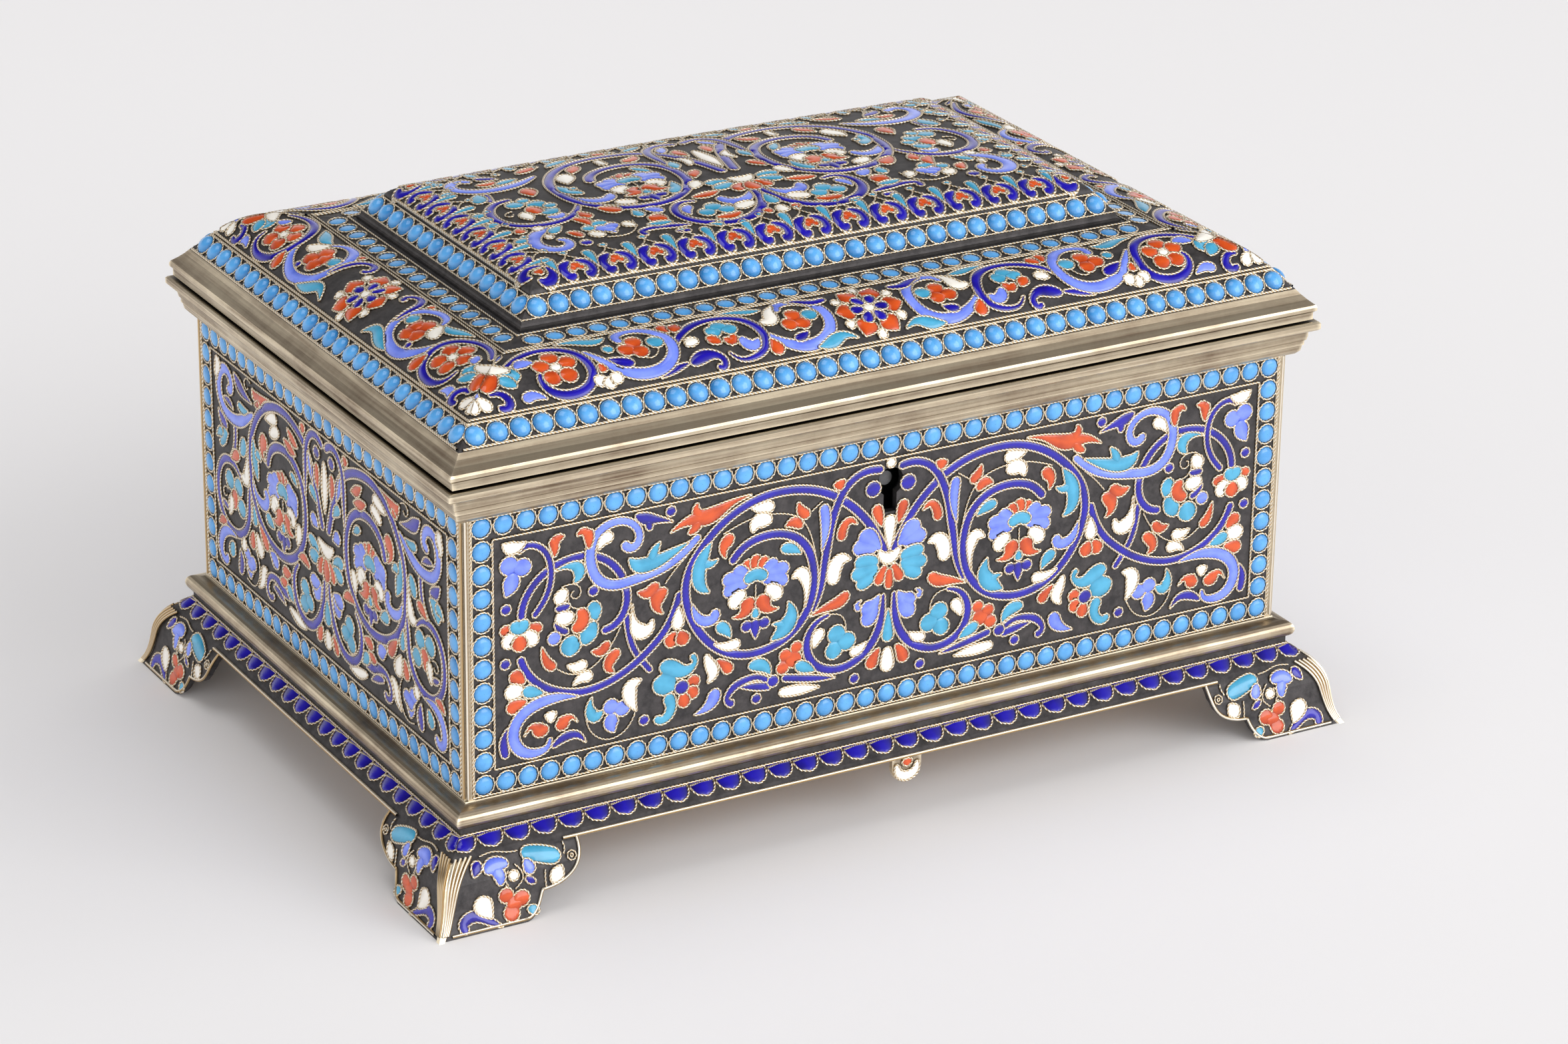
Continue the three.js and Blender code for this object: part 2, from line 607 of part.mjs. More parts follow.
/** Rise of the tray's pillow over its edge: a rounded shoulder, then a low crown. */
function pillowRise(x, y) {
  const halfX = HALF_LENGTH - TRAY_IN;
  const halfY = HALF_DEPTH - TRAY_IN;
  const inset = Math.min(halfX - Math.abs(x), halfY - Math.abs(y));
  const shoulder = 1 - Math.min(Math.max(inset, 0) / SHOULDER, 1);
  const crown = (1 - (x / halfX) ** 2) * (1 - (y / halfY) ** 2);
  return SHOULDER_RISE * Math.sqrt(1 - shoulder ** 2) + CROWN_RISE * Math.max(crown, 0);
}

/** Stations across the tray from one edge to the other, closer together on the shoulders. */
function stations(half, middles) {
  const edge = [0, 0.08, 0.3, 0.62, 1].map((share) => half - share * SHOULDER);
  const reach = edge.at(-1);
  const inner = Array.from({ length: middles }, (_, i) => reach * (1 - (2 * (i + 1)) / (middles + 1)));
  return [...edge, ...inner, ...edge.map((e) => -e).reverse()].reverse();
}

/** The tray's domed plate: an outer and an inner pillow, joined by a level seat round the edge. */
function trayDome() {
  const vertices = [];
  const faces = [];
  const rims = [];
  for (const [margin, drop, flip] of [[0, 0, false], [TRAY_SHEET, LID_SHEET, true]]) {
    const xs = stations(HALF_LENGTH - TRAY_IN - margin, TRAY_LONG_STEPS);
    const ys = stations(HALF_DEPTH - TRAY_IN - margin, TRAY_SHORT_STEPS);
    const first = vertices.length;
    const at = (i, j) => first + i * ys.length + j;
    xs.forEach((x, i) => ys.forEach((y, j) => {
      const onRim = i === 0 || j === 0 || i === xs.length - 1 || j === ys.length - 1;
      vertices.push([x, y, TRAY_TOP + (onRim ? 0 : Math.max(pillowRise(x, y) - drop, 0.05))]);
    }));
    for (let i = 0; i + 1 < xs.length; i += 1) {
      for (let j = 0; j + 1 < ys.length; j += 1) {
        const [a, b, c, d] = [at(i, j), at(i + 1, j), at(i + 1, j + 1), at(i, j + 1)];
        faces.push(...(flip ? [[a, c, b], [a, d, c]] : [[a, b, c], [a, c, d]]));
      }
    }
    const rim = [];
    for (let i = 0; i < xs.length - 1; i += 1) rim.push(at(i, 0));
    for (let j = 0; j < ys.length - 1; j += 1) rim.push(at(xs.length - 1, j));
    for (let i = xs.length - 1; i > 0; i -= 1) rim.push(at(i, ys.length - 1));
    for (let j = ys.length - 1; j > 0; j -= 1) rim.push(at(0, j));
    rims.push(rim);
  }
  const [outer, inner] = rims;
  outer.forEach((a, i) => {
    const b = outer[(i + 1) % outer.length];
    const [c, d] = [inner[(i + 1) % inner.length], inner[i]];
    faces.push([a, c, b], [a, d, c]);
  });
  return meshOf(vertices, faces);
}
add('tray_dome', trayDome(), ENAMEL);

// Hinge: two leaves with alternate knuckles on one pin
const KNUCKLE_PITCH = HINGE_LENGTH / KNUCKLES;
const BORE_RADIUS = PIN_RADIUS + PIN_CLEARANCE;

/** One leaf: a strip with its own knuckles, notched round those of the other leaf. */
function hingeLeaf(strip, ownsKnuckle) {
  let leaf = solidOf(strip);
  const tubes = [];
  for (let k = 0; k < KNUCKLES; k += 1) {
    const x0 = -HINGE_LENGTH / 2 + k * KNUCKLE_PITCH;
    const x1 = x0 + KNUCKLE_PITCH;
    if (ownsKnuckle(k)) {
      tubes.push(barAlongX(KNUCKLE_RADIUS, x0 + KNUCKLE_GAP / 2, x1 - KNUCKLE_GAP / 2, HINGE_Y, HINGE_Z));
    } else {
      const notch = barAlongX(
        KNUCKLE_RADIUS + LEAF_CLEARANCE,
        x0 - KNUCKLE_GAP / 2, x1 + KNUCKLE_GAP / 2,
        HINGE_Y, HINGE_Z,
      );
      leaf = leaf.subtract(solidOf(notch));
    }
  }
  for (const tube of tubes) leaf = leaf.add(solidOf(tube));
  const bore = barAlongX(BORE_RADIUS, -HINGE_LENGTH, HINGE_LENGTH, HINGE_Y, HINGE_Z);
  return geometryOf(leaf.subtract(solidOf(bore)));
}

const hingeEnd = HINGE_LENGTH / 2 - KNUCKLE_GAP / 2;
const leafBodyFace = HALF_DEPTH + RIM_OUT;
const leafBodyTop = RIM_TOP - RIM_EASE;
const bodyStrip = block(
  -hingeEnd, hingeEnd,
  leafBodyFace, leafBodyFace + LEAF_BODY_THICK,
  leafBodyTop - LEAF_BODY_HEIGHT, leafBodyTop,
);
add('hinge_leaf_body', hingeLeaf(bodyStrip, (k) => k % 2 === 0), SILVER);
const leafLidFace = HALF_DEPTH + LID_OUT;
const leafLidFoot = LID_FOOT + LEAF_LID_LIFT;
const lidStrip = block(
  -hingeEnd, hingeEnd,
  leafLidFace, leafLidFace + LEAF_LID_THICK,
  leafLidFoot, leafLidFoot + LEAF_LID_HEIGHT,
);
add('hinge_leaf_lid', hingeLeaf(lidStrip, (k) => k % 2 === 1), SILVER);

const pinEnd = HINGE_LENGTH / 2 + KNUCKLE_GAP / 2;
const pinProfile = new THREE.Path();
pinProfile.moveTo(0, -pinEnd - 2 * PIN_HEAD_RADIUS);
pinProfile.absarc(0, -pinEnd - PIN_HEAD_RADIUS, PIN_HEAD_RADIUS, -Math.PI / 2, 0, false);
pinProfile.lineTo(PIN_HEAD_RADIUS, -pinEnd);
pinProfile.lineTo(PIN_RADIUS, -pinEnd);
pinProfile.lineTo(PIN_RADIUS, pinEnd);
pinProfile.lineTo(PIN_HEAD_RADIUS, pinEnd);
pinProfile.absarc(0, pinEnd + PIN_HEAD_RADIUS, PIN_HEAD_RADIUS, 0, Math.PI / 2, false);
const pin = new THREE.LatheGeometry(outlineOpen(pinProfile), 12);
add('hinge_pin', pin.rotateZ(Math.PI / 2).translate(0, HINGE_Y, HINGE_Z), SILVER);

/** Points of a lathe profile that starts and ends on the axis. */
function outlineOpen(path) {
  return path.getPoints(3).filter((p, i, all) => i === 0 || p.distanceTo(all[i - 1]) > 1e-4);
}

// Lock plate: an upright plate behind the front wall, turned over at the top as the selvedge
const plateFoot = KEYHOLE_Z - LOCK_PLATE_BELOW;
const plateShape = rectangle(LOCK_PLATE_HALF, plateFoot, RIM_TOP);
const lockPlateUpright = solidOf(uprightPlate(plateShape, WALL_INNER_Y, CAP_FRONT_Y));
const selvedge = solidOf(block(
  -LOCK_PLATE_HALF, LOCK_PLATE_HALF,
  WALL_INNER_Y, CAP_BACK_Y,
  SELVEDGE_FOOT, RIM_TOP,
));
const plateKeyhole = solidOf(uprightPlate(
  keyhole(KEYHOLE_MARGIN, THREE.Shape),
  WALL_INNER_Y - 1, CAP_FRONT_Y + 1,
  8,
));
const stapleSlot = solidOf(block(
  -STAPLE_THICK / 2 - STAPLE_CLEARANCE, STAPLE_THICK / 2 + STAPLE_CLEARANCE,
  STAPLE_FRONT_Y - SLOT_END_CLEARANCE, STAPLE_FRONT_Y + STAPLE_WIDTH + SLOT_END_CLEARANCE,
  SELVEDGE_FOOT - 1, RIM_TOP + 1,
));
const lockPlate = lockPlateUpright.add(selvedge).subtract(plateKeyhole).subtract(stapleSlot);
add('lock_plate', geometryOf(lockPlate), STEEL);

// Lock cap: a shallow box open towards the plate and the selvedge, with a rail for the bolt
const capFoot = plateFoot + CAP_MARGIN;
const capOuter = solidOf(block(-CAP_HALF, CAP_HALF, CAP_FRONT_Y, CAP_BACK_Y, capFoot, SELVEDGE_FOOT));
const capHollow = solidOf(block(
  -CAP_HALF + CAP_WALL, CAP_HALF - CAP_WALL,
  CAP_FRONT_Y - 1, CAP_BACK_Y - CAP_WALL,
  capFoot + CAP_WALL, SELVEDGE_FOOT + 1,
));
const noseFoot = BOLT_Z - BOLT_NOSE / 2;
const boltFoot = KEYHOLE_Z + BOLT_BIT_REACH;
const boltTip = -STAPLE_THICK / 2 - BOLT_GAP;
const boltFront = STAPLE_MID_Y - BOLT_THICK / 2;
const boltBack = STAPLE_MID_Y + BOLT_THICK / 2;
const railTop = boltFoot - BOLT_CLEARANCE;
const rail = solidOf(block(
  -CAP_HALF + CAP_WALL / 2, boltTip - BOLT_TAIL + RAIL_SHORT,
  boltFront, CAP_BACK_Y - CAP_WALL / 2,
  railTop - CAP_WALL, railTop,
));
add('lock_cap', geometryOf(capOuter.subtract(capHollow).add(rail)), STEEL);

// Drill pin: the post that a barrel key slides over, seen through the keyhole
const pinTip = WALL_INNER_Y + DRILL_PIN_RECESS;
const pinRoot = CAP_BACK_Y - CAP_WALL;
const drillPin = new THREE.CylinderGeometry(DRILL_PIN_RADIUS, DRILL_PIN_RADIUS, pinRoot - pinTip, 16);
add('lock_drill_pin', drillPin.translate(0, (pinRoot + pinTip) / 2, KEYHOLE_Z), STEEL);

// Bolt: a nose that shoots through the staple's eye, on a tail with the talon that the key turns in
const bolt = new THREE.Shape();
const noseTop = noseFoot + BOLT_NOSE;
const tailRight = boltTip - BOLT_LENGTH + BOLT_TAIL;
const talonX = tailRight - BOLT_TAIL / 2;
bolt.moveTo(boltTip - BOLT_LENGTH, boltFoot);
bolt.lineTo(talonX - TALON_RADIUS, boltFoot);
bolt.absarc(talonX, boltFoot, TALON_RADIUS, Math.PI, 0, true);
bolt.lineTo(tailRight, boltFoot);
bolt.lineTo(tailRight, noseFoot);
bolt.lineTo(boltTip, noseFoot);
bolt.lineTo(boltTip, noseTop);
bolt.lineTo(boltTip - BOLT_LENGTH, noseTop);
add('lock_bolt', uprightPlate(bolt, boltFront, boltBack), STEEL);

// Spring: a bowed leaf between the selvedge and the bolt, which holds the bolt where it is shot
const springLeft = boltTip - BOLT_LENGTH;
const springRight = boltTip - SPRING_END;
const springMid = (springLeft + springRight) / 2;
const springHigh = SELVEDGE_FOOT;
const springLow = noseTop + BOLT_CLEARANCE;
const sag = 2 * (springHigh - SPRING_THICK - springLow);
const spring = new THREE.Shape();
spring.moveTo(springLeft, springHigh);
spring.lineTo(springLeft, springHigh - SPRING_THICK);
spring.quadraticCurveTo(springMid, springHigh - SPRING_THICK - sag, springRight, springHigh - SPRING_THICK);
spring.lineTo(springRight, springHigh);
spring.quadraticCurveTo(springMid, springHigh - sag, springLeft, springHigh);
add('lock_spring', uprightPlate(spring, boltFront, boltBack, 4), STEEL);

// Rivets through the corners of the lock plate
const rivetX = (LOCK_PLATE_HALF + CAP_HALF) / 2;
const rivetProfile = [
  new THREE.Vector2(0, 0),
  new THREE.Vector2(RIVET_RADIUS, 0),
  new THREE.Vector2(RIVET_RADIUS * 0.7, RIVET_HEIGHT * 0.8),
  new THREE.Vector2(0, RIVET_HEIGHT),
];
for (const [side, sx] of [['left', -1], ['right', 1]]) {
  for (const [level, z] of [['low', plateFoot + CAP_MARGIN], ['high', WALL_TOP - CAP_MARGIN]]) {
    const rivet = new THREE.LatheGeometry(rivetProfile, 10);
    add(`lock_rivet_${side}_${level}`, rivet.translate(sx * rivetX, CAP_FRONT_Y, z), STEEL);
  }
}

// Staple: a plate riveted inside the lid's front edge, with the eye that the bolt enters
const stapleEyeHalf = STAPLE_WIDTH / 2 - STAPLE_LOOP;
const loop = new THREE.Shape();
const stapleBack = STAPLE_FRONT_Y + STAPLE_WIDTH;
const loopRadius = STAPLE_WIDTH / 2;
const stapleTop = nosingTop + STAPLE_CLEARANCE;
loop.moveTo(STAPLE_FRONT_Y, STAPLE_FOOT + loopRadius);
loop.absarc(STAPLE_MID_Y, STAPLE_FOOT + loopRadius, loopRadius, Math.PI, 2 * Math.PI, false);
loop.lineTo(stapleBack, stapleTop - loopRadius);
loop.lineTo(WALL_INNER_Y + STAPLE_PLATE, stapleTop);
loop.lineTo(WALL_INNER_Y, stapleTop);
loop.lineTo(WALL_INNER_Y, LID_FOOT + STAPLE_CLEARANCE);
loop.lineTo(STAPLE_FRONT_Y, LID_FOOT + STAPLE_CLEARANCE);
const eye = new THREE.Path();
eye.moveTo(STAPLE_MID_Y - stapleEyeHalf, BOLT_Z - EYE_HALF_HEIGHT);
eye.lineTo(STAPLE_MID_Y + stapleEyeHalf, BOLT_Z - EYE_HALF_HEIGHT);
eye.lineTo(STAPLE_MID_Y + stapleEyeHalf, BOLT_Z + EYE_HALF_HEIGHT);
eye.lineTo(STAPLE_MID_Y - stapleEyeHalf, BOLT_Z + EYE_HALF_HEIGHT);
loop.holes.push(eye);
const loopSolid = solidOf(endPlate(loop, -STAPLE_THICK / 2, STAPLE_THICK / 2, 4));
const staplePlate = solidOf(block(
  -STAPLE_PLATE_HALF, STAPLE_PLATE_HALF,
  WALL_INNER_Y, WALL_INNER_Y + STAPLE_PLATE,
  LID_FOOT + STAPLE_CLEARANCE, stapleTop,
));
add('lid_staple', geometryOf(loopSolid.add(staplePlate)), STEEL);

export default casket;
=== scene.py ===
import bpy
import numpy as np
from mathutils import Matrix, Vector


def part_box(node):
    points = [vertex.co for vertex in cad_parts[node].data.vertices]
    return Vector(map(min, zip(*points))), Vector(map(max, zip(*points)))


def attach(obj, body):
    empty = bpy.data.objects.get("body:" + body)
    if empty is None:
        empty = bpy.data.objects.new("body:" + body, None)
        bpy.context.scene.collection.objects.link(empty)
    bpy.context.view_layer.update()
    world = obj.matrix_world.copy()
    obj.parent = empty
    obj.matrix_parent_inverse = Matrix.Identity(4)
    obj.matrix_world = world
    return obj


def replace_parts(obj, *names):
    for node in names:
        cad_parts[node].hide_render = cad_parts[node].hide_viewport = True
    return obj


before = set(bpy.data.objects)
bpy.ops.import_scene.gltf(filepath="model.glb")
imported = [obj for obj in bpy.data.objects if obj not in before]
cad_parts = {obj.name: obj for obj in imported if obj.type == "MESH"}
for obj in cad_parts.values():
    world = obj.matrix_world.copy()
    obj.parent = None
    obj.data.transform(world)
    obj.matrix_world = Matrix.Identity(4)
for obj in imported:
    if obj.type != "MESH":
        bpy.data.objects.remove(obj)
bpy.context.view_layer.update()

# The camera stands where the photograph was taken from. Its place, angle and lens were worked out
# from the casket's own edges in the picture, and the picture is 2355 by 1568 pixels.
MM = 0.001
CAMERA_PLACE = np.array((-376.9, -674.4, 359.6))
AZIMUTH, ELEVATION, ROLL = np.radians((29.79, 23.02, 0.742))
LENS_LENGTH, NEAREST = 114.95, 0.05

forward = np.array((np.sin(AZIMUTH) * np.cos(ELEVATION), np.cos(AZIMUTH) * np.cos(ELEVATION),
        -np.sin(ELEVATION)))
level = np.array((np.cos(AZIMUTH), -np.sin(AZIMUTH), 0))
rising = np.cross(level, forward)
camera_right = np.cos(ROLL) * level + np.sin(ROLL) * rising
camera_up = np.cos(ROLL) * rising - np.sin(ROLL) * level
camera_data = bpy.data.cameras.new("camera")
camera_data.lens = LENS_LENGTH
camera_data.clip_start = NEAREST
camera = bpy.data.objects.new("camera", camera_data)
bpy.context.scene.collection.objects.link(camera)
turn = Matrix(np.stack((camera_right, camera_up, -forward), axis=1).tolist()).to_4x4()
camera.matrix_world = Matrix.Translation(CAMERA_PLACE * MM) @ turn
bpy.context.scene.camera = camera
bpy.context.scene.view_settings.view_transform = "Standard"


def colour(code):
    """Linear colour of an sRGB hex value."""
    parts = np.array([int(code[i:i + 2], 16) for i in (1, 3, 5)]) / 255
    linear = np.where(parts <= 0.04045, parts / 12.92, ((parts + 0.055) / 1.055) ** 2.4)
    return (*linear, 1.0)


def node(tree, kind, inputs=None, **settings):
    """Adds a node with its settings. An input is a plain value, or the socket it is linked to."""
    made = tree.nodes.new(kind)
    for name, value in settings.items():
        setattr(made, name, value)
    for key, value in (inputs or {}).items():
        if isinstance(value, bpy.types.NodeSocket):
            tree.links.new(value, made.inputs[key])
        else:
            made.inputs[key].default_value = value
    return made


def new_material(name, **surface):
    """Starts a material on the principled shader, and gives it with its tree and shader."""
    made = bpy.data.materials.new(name)
    made.use_nodes = True
    shader = made.node_tree.nodes["Principled BSDF"]
    for socket, value in surface.items():
        shader.inputs[socket.replace("_", " ")].default_value = value
    return made, made.node_tree, shader


# The studio: a pale paper sweep under the casket in a pale room, whose ceiling is dim, most of all
# to the back and left. One large soft lamp stands in front on the right, and one hangs over it.
PAPER, ROOM, CEILING = "#f3f2f3", "#f8f7f7", "#3b3836"
BRIGHT_SIDE, LEAN = (0.45, -0.89, 0), 0.5
WALL_END, CEILING_START = 0.35, 0.72
ROOM_LIGHT, PLAIN = 1.8, 1.0
FLOOR_REACH = 4.0

# Sweep paper: dull and nearly white, so that the shadow lies soft on it.
paper, tree, shader = new_material("sweep_paper", Roughness=0.9)
shader.inputs["Base Color"].default_value = colour(PAPER)
floor_mesh = bpy.data.meshes.new("floor")
corners = [(x * FLOOR_REACH, y * FLOOR_REACH, 0) for x, y in ((-1, -1), (1, -1), (1, 1), (-1, 1))]
floor_mesh.from_pydata(corners, [], [(0, 1, 2, 3)])
floor_mesh.materials.append(paper)
floor = bpy.data.objects.new("floor", floor_mesh)
bpy.context.scene.collection.objects.link(floor)

world = bpy.data.worlds.new("room")
world.use_nodes = True
bpy.context.scene.world = world
tree = world.node_tree
background = tree.nodes["Background"]
light_path = node(tree, "ShaderNodeLightPath")
seen = node(tree, "ShaderNodeMath", {0: light_path.outputs["Is Camera Ray"],
        1: light_path.outputs["Is Glossy Ray"]}, operation="MAXIMUM")
seen = node(tree, "ShaderNodeMath", {0: seen.outputs[0],
        1: light_path.outputs["Is Transmission Ray"]}, operation="MAXIMUM")
strength = node(tree, "ShaderNodeMapRange", {"Value": seen.outputs[0], "To Min": ROOM_LIGHT,
        "To Max": PLAIN})
heading = node(tree, "ShaderNodeTexCoord").outputs["Generated"]
height = node(tree, "ShaderNodeSeparateXYZ", {"Vector": heading})
facing = node(tree, "ShaderNodeVectorMath", {0: heading, 1: BRIGHT_SIDE}, operation="DOT_PRODUCT")
leaning = node(tree, "ShaderNodeMath", {0: facing.outputs["Value"], 1: -LEAN, 2: 1.0},
        operation="MULTIPLY_ADD")
raised = node(tree, "ShaderNodeMath", {0: leaning.outputs[0], 1: height.outputs["Z"]},
        operation="MULTIPLY")
overhead = node(tree, "ShaderNodeMapRange", {"Value": raised.outputs[0], "From Min": WALL_END,
        "From Max": CEILING_START})
walls = node(tree, "ShaderNodeMix", {"Factor": overhead.outputs[0], "A": colour(ROOM),
        "B": colour(CEILING)}, data_type="RGBA")
tree.links.new(walls.outputs["Result"], background.inputs["Color"])
tree.links.new(strength.outputs[0], background.inputs["Strength"])


def soft_lamp(name, place, aim, size, power):
    """Hangs a square soft lamp at a place, turned to face another."""
    data = bpy.data.lights.new(name, "AREA")
    data.size = size
    data.energy = power
    lamp = bpy.data.objects.new(name, data)
    bpy.context.scene.collection.objects.link(lamp)
    away = np.subtract(place, aim)
    away /= np.linalg.norm(away)
    across = np.cross((0, 0, 1), away)
    across /= np.linalg.norm(across)
    axes = Matrix(np.stack((across, np.cross(away, across), away), axis=1).tolist()).to_4x4()
    lamp.matrix_world = Matrix.Translation(place) @ axes


CASKET_MIDDLE, LAMP_SIZE = (0, 0, 0.05), 1.4
KEY_PLACE, KEY_POWER = (0.75, -1.55, 0.7), 15
TOP_PLACE, TOP_POWER = (-0.2, 0.2, 1.9), 10.5
soft_lamp("key_lamp", KEY_PLACE, CASKET_MIDDLE, LAMP_SIZE, KEY_POWER)
soft_lamp("top_lamp", TOP_PLACE, CASKET_MIDDLE, LAMP_SIZE, TOP_POWER)


# Silver mouldings: the plinth, rim and lid edge, the upright corner mounts, the strips down the
# feet, the drop and the hinge. They are drawn silver, bright and brown with tarnish in patches,
# streaked along its length by the drawing, pale on the convex edges with rubbed wear and a painted
# highlight, and dark in the hollows with tarnish and painted shade.
SILVER, TARNISH, HOLLOW_TARNISH_AND_SHADE, RUBBED_EDGE_AND_HIGHLIGHT = "#dccdb2", "#8a7662", "#21180f", "#fff1d4"
DRAW_LINE, PATCH, GRIT, HOLLOW_REACH, EDGE_REACH = 0.5, 14, 0.35, 4.5, 0.9
DRAWN_OUT = (0.02, 0.02, 1)
CORNERS = ("front_left", "front_right", "back_right", "back_left")

# Old silver: a soft warm gleam along the mouldings, tarnish and painted shade in the hollows,
# and pale rubbed edges with a painted highlight on them.
silver, tree, shader = new_material("old_silver", Metallic=1.0)
where = node(tree, "ShaderNodeTexCoord")
patches = node(tree, "ShaderNodeTexNoise", {"Vector": where.outputs["Object"],
        "Scale": 1 / (PATCH * MM), "Detail": 6, "Roughness": 0.65})
flattened = node(tree, "ShaderNodeMapping", {"Vector": where.outputs["Object"],
        "Scale": DRAWN_OUT})
streaks = node(tree, "ShaderNodeTexNoise", {"Vector": flattened.outputs[0],
        "Scale": 1 / (DRAW_LINE * MM), "Detail": 4})
grains = node(tree, "ShaderNodeTexNoise", {"Vector": where.outputs["Object"],
        "Scale": 1 / (GRIT * MM), "Detail": 3})
worn = node(tree, "ShaderNodeMath", {0: patches.outputs["Fac"], 1: streaks.outputs["Fac"]},
        operation="ADD")
bright = node(tree, "ShaderNodeMapRange", {"Value": worn.outputs[0], "From Min": 0.7,
        "From Max": 1.2})
tone = node(tree, "ShaderNodeMix", {"Factor": bright.outputs[0], "A": colour(TARNISH),
        "B": colour(SILVER)}, data_type="RGBA")
# Painted shade: the hollows and the parts under an overhang go dark brown, over the tarnish.
open_air = node(tree, "ShaderNodeAmbientOcclusion", {"Distance": HOLLOW_REACH * MM}, samples=6)
unshaded_share = node(tree, "ShaderNodeMapRange", {"Value": open_air.outputs["AO"], "From Min": 0.4,
        "From Max": 0.92})
tarnished_and_shaded = node(tree, "ShaderNodeMix", {"Factor": unshaded_share.outputs[0], "A": colour(HOLLOW_TARNISH_AND_SHADE),
        "B": tone.outputs["Result"]}, data_type="RGBA")
# Painted highlight: the convex edges go pale cream, which also stands for rubbed wear.
near_edge = node(tree, "ShaderNodeAmbientOcclusion", {"Distance": EDGE_REACH * MM}, samples=6,
        inside=True)
edge_wear_and_highlight = node(tree, "ShaderNodeMapRange", {"Value": near_edge.outputs["AO"], "From Min": 0.85,
        "From Max": 0.45})
rubbed_and_highlit_tone = node(tree, "ShaderNodeMix", {"Factor": edge_wear_and_highlight.outputs[0],
        "A": tarnished_and_shaded.outputs["Result"], "B": colour(RUBBED_EDGE_AND_HIGHLIGHT)}, data_type="RGBA")
dull = node(tree, "ShaderNodeMapRange", {"Value": bright.outputs[0], "To Min": 0.44,
        "To Max": 0.28})
drawn = node(tree, "ShaderNodeBump", {"Height": streaks.outputs["Fac"], "Strength": 0.12,
        "Distance": 0.05 * MM})
rubbed = node(tree, "ShaderNodeBump", {"Height": grains.outputs["Fac"], "Strength": 0.1,
        "Distance": 0.05 * MM, "Normal": drawn.outputs[0]})
tree.links.new(rubbed_and_highlit_tone.outputs["Result"], shader.inputs["Base Color"])
tree.links.new(dull.outputs[0], shader.inputs["Roughness"])
tree.links.new(rubbed.outputs[0], shader.inputs["Normal"])


def finish_node(name, made):
    """Gives a CAD node its material."""
    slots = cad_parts[name].data.materials
    slots.clear()
    slots.append(made)


for name in ("apron_drop", "plinth_moulding", "rim_moulding", "lid_edge_moulding",
        "hinge_leaf_body", "hinge_leaf_lid", "hinge_pin"):
    finish_node(name, silver)
for corner in CORNERS:
    finish_node(f"corner_strip_{corner}", silver)
    finish_node(f"foot_arris_{corner}", silver)


# The enamelled plates: silver sheet, blackened with sulphur between the wires, so that it is dark
# and dull with the marks of the stoning on it. The walls, the riser and the plates of the lid are
# gilt inside, and where little light reaches, as in the keyhole, the colour is painted near black
# as shade.
GROUND, GROUND_WORN = "#373536", "#5c5858"
GILT, GILT_WORN = "#efcd8c", "#cfa668"
DEEP_SHADE = "#0c0b0b"
STONING, RUBBED, INWARD, KEYHOLE_REACH = 2, 9, 8, 3


def plate_material(name, gilt_inside):
    """Blackened silver, a dark dull ground that lets the colours stand out. The faces that look
    towards the middle of the casket may be gilt, a warm yellow gleam with paler rubbed patches."""
    made, tree, shader = new_material(name, Metallic=0.55, Roughness=0.5)
    where = node(tree, "ShaderNodeTexCoord")
    wear = node(tree, "ShaderNodeTexNoise", {"Vector": where.outputs["Object"],
            "Scale": 1 / (STONING * MM), "Detail": 5, "Roughness": 0.7})
    specks = node(tree, "ShaderNodeMapRange", {"Value": wear.outputs["Fac"], "From Min": 0.35,
            "From Max": 0.8})
    tone = node(tree, "ShaderNodeMix", {"Factor": specks.outputs[0], "A": colour(GROUND),
            "B": colour(GROUND_WORN)}, data_type="RGBA")
    pitted = node(tree, "ShaderNodeBump", {"Height": wear.outputs["Fac"], "Strength": 0.5,
            "Distance": 0.08 * MM})
    if gilt_inside:
        # Painted shade: where the surface is closed in, as in the keyhole and in narrow creases, the
        # colour goes to near black.
        open_air = node(tree, "ShaderNodeAmbientOcclusion", {"Distance": KEYHOLE_REACH * MM},
                samples=4)
        lit = node(tree, "ShaderNodeMapRange", {"Value": open_air.outputs["AO"], "From Min": 0.3,
                "From Max": 0.75})
        tone = node(tree, "ShaderNodeMix", {"Factor": lit.outputs[0], "A": colour(DEEP_SHADE),
                "B": tone.outputs["Result"]}, data_type="RGBA")
        rubbing = node(tree, "ShaderNodeTexNoise", {"Vector": where.outputs["Object"],
                "Scale": 1 / (RUBBED * MM), "Detail": 5})
        thin = node(tree, "ShaderNodeMapRange", {"Value": rubbing.outputs["Fac"], "From Min": 0.4,
                "From Max": 0.7})
        gold = node(tree, "ShaderNodeMix", {"Factor": thin.outputs[0], "A": colour(GILT),
                "B": colour(GILT_WORN)}, data_type="RGBA")
        from_middle = node(tree, "ShaderNodeVectorMath",
                {0: where.outputs["Object"], 1: CASKET_MIDDLE}, operation="SUBTRACT")
        outward = node(tree, "ShaderNodeVectorMath",
                {0: from_middle.outputs["Vector"], 1: where.outputs["Normal"]},
                operation="DOT_PRODUCT")
        inner = node(tree, "ShaderNodeMath", {0: outward.outputs["Value"], 1: -INWARD * MM},
                operation="LESS_THAN")
        tone = node(tree, "ShaderNodeMix", {"Factor": inner.outputs[0], "A": tone.outputs["Result"],
                "B": gold.outputs["Result"]}, data_type="RGBA")
        metal = node(tree, "ShaderNodeMapRange", {"Value": inner.outputs[0], "To Min": 0.55,
                "To Max": 1.0})
        tree.links.new(metal.outputs[0], shader.inputs["Metallic"])
    tree.links.new(tone.outputs["Result"], shader.inputs["Base Color"])
    tree.links.new(pitted.outputs[0], shader.inputs["Normal"])
    return made


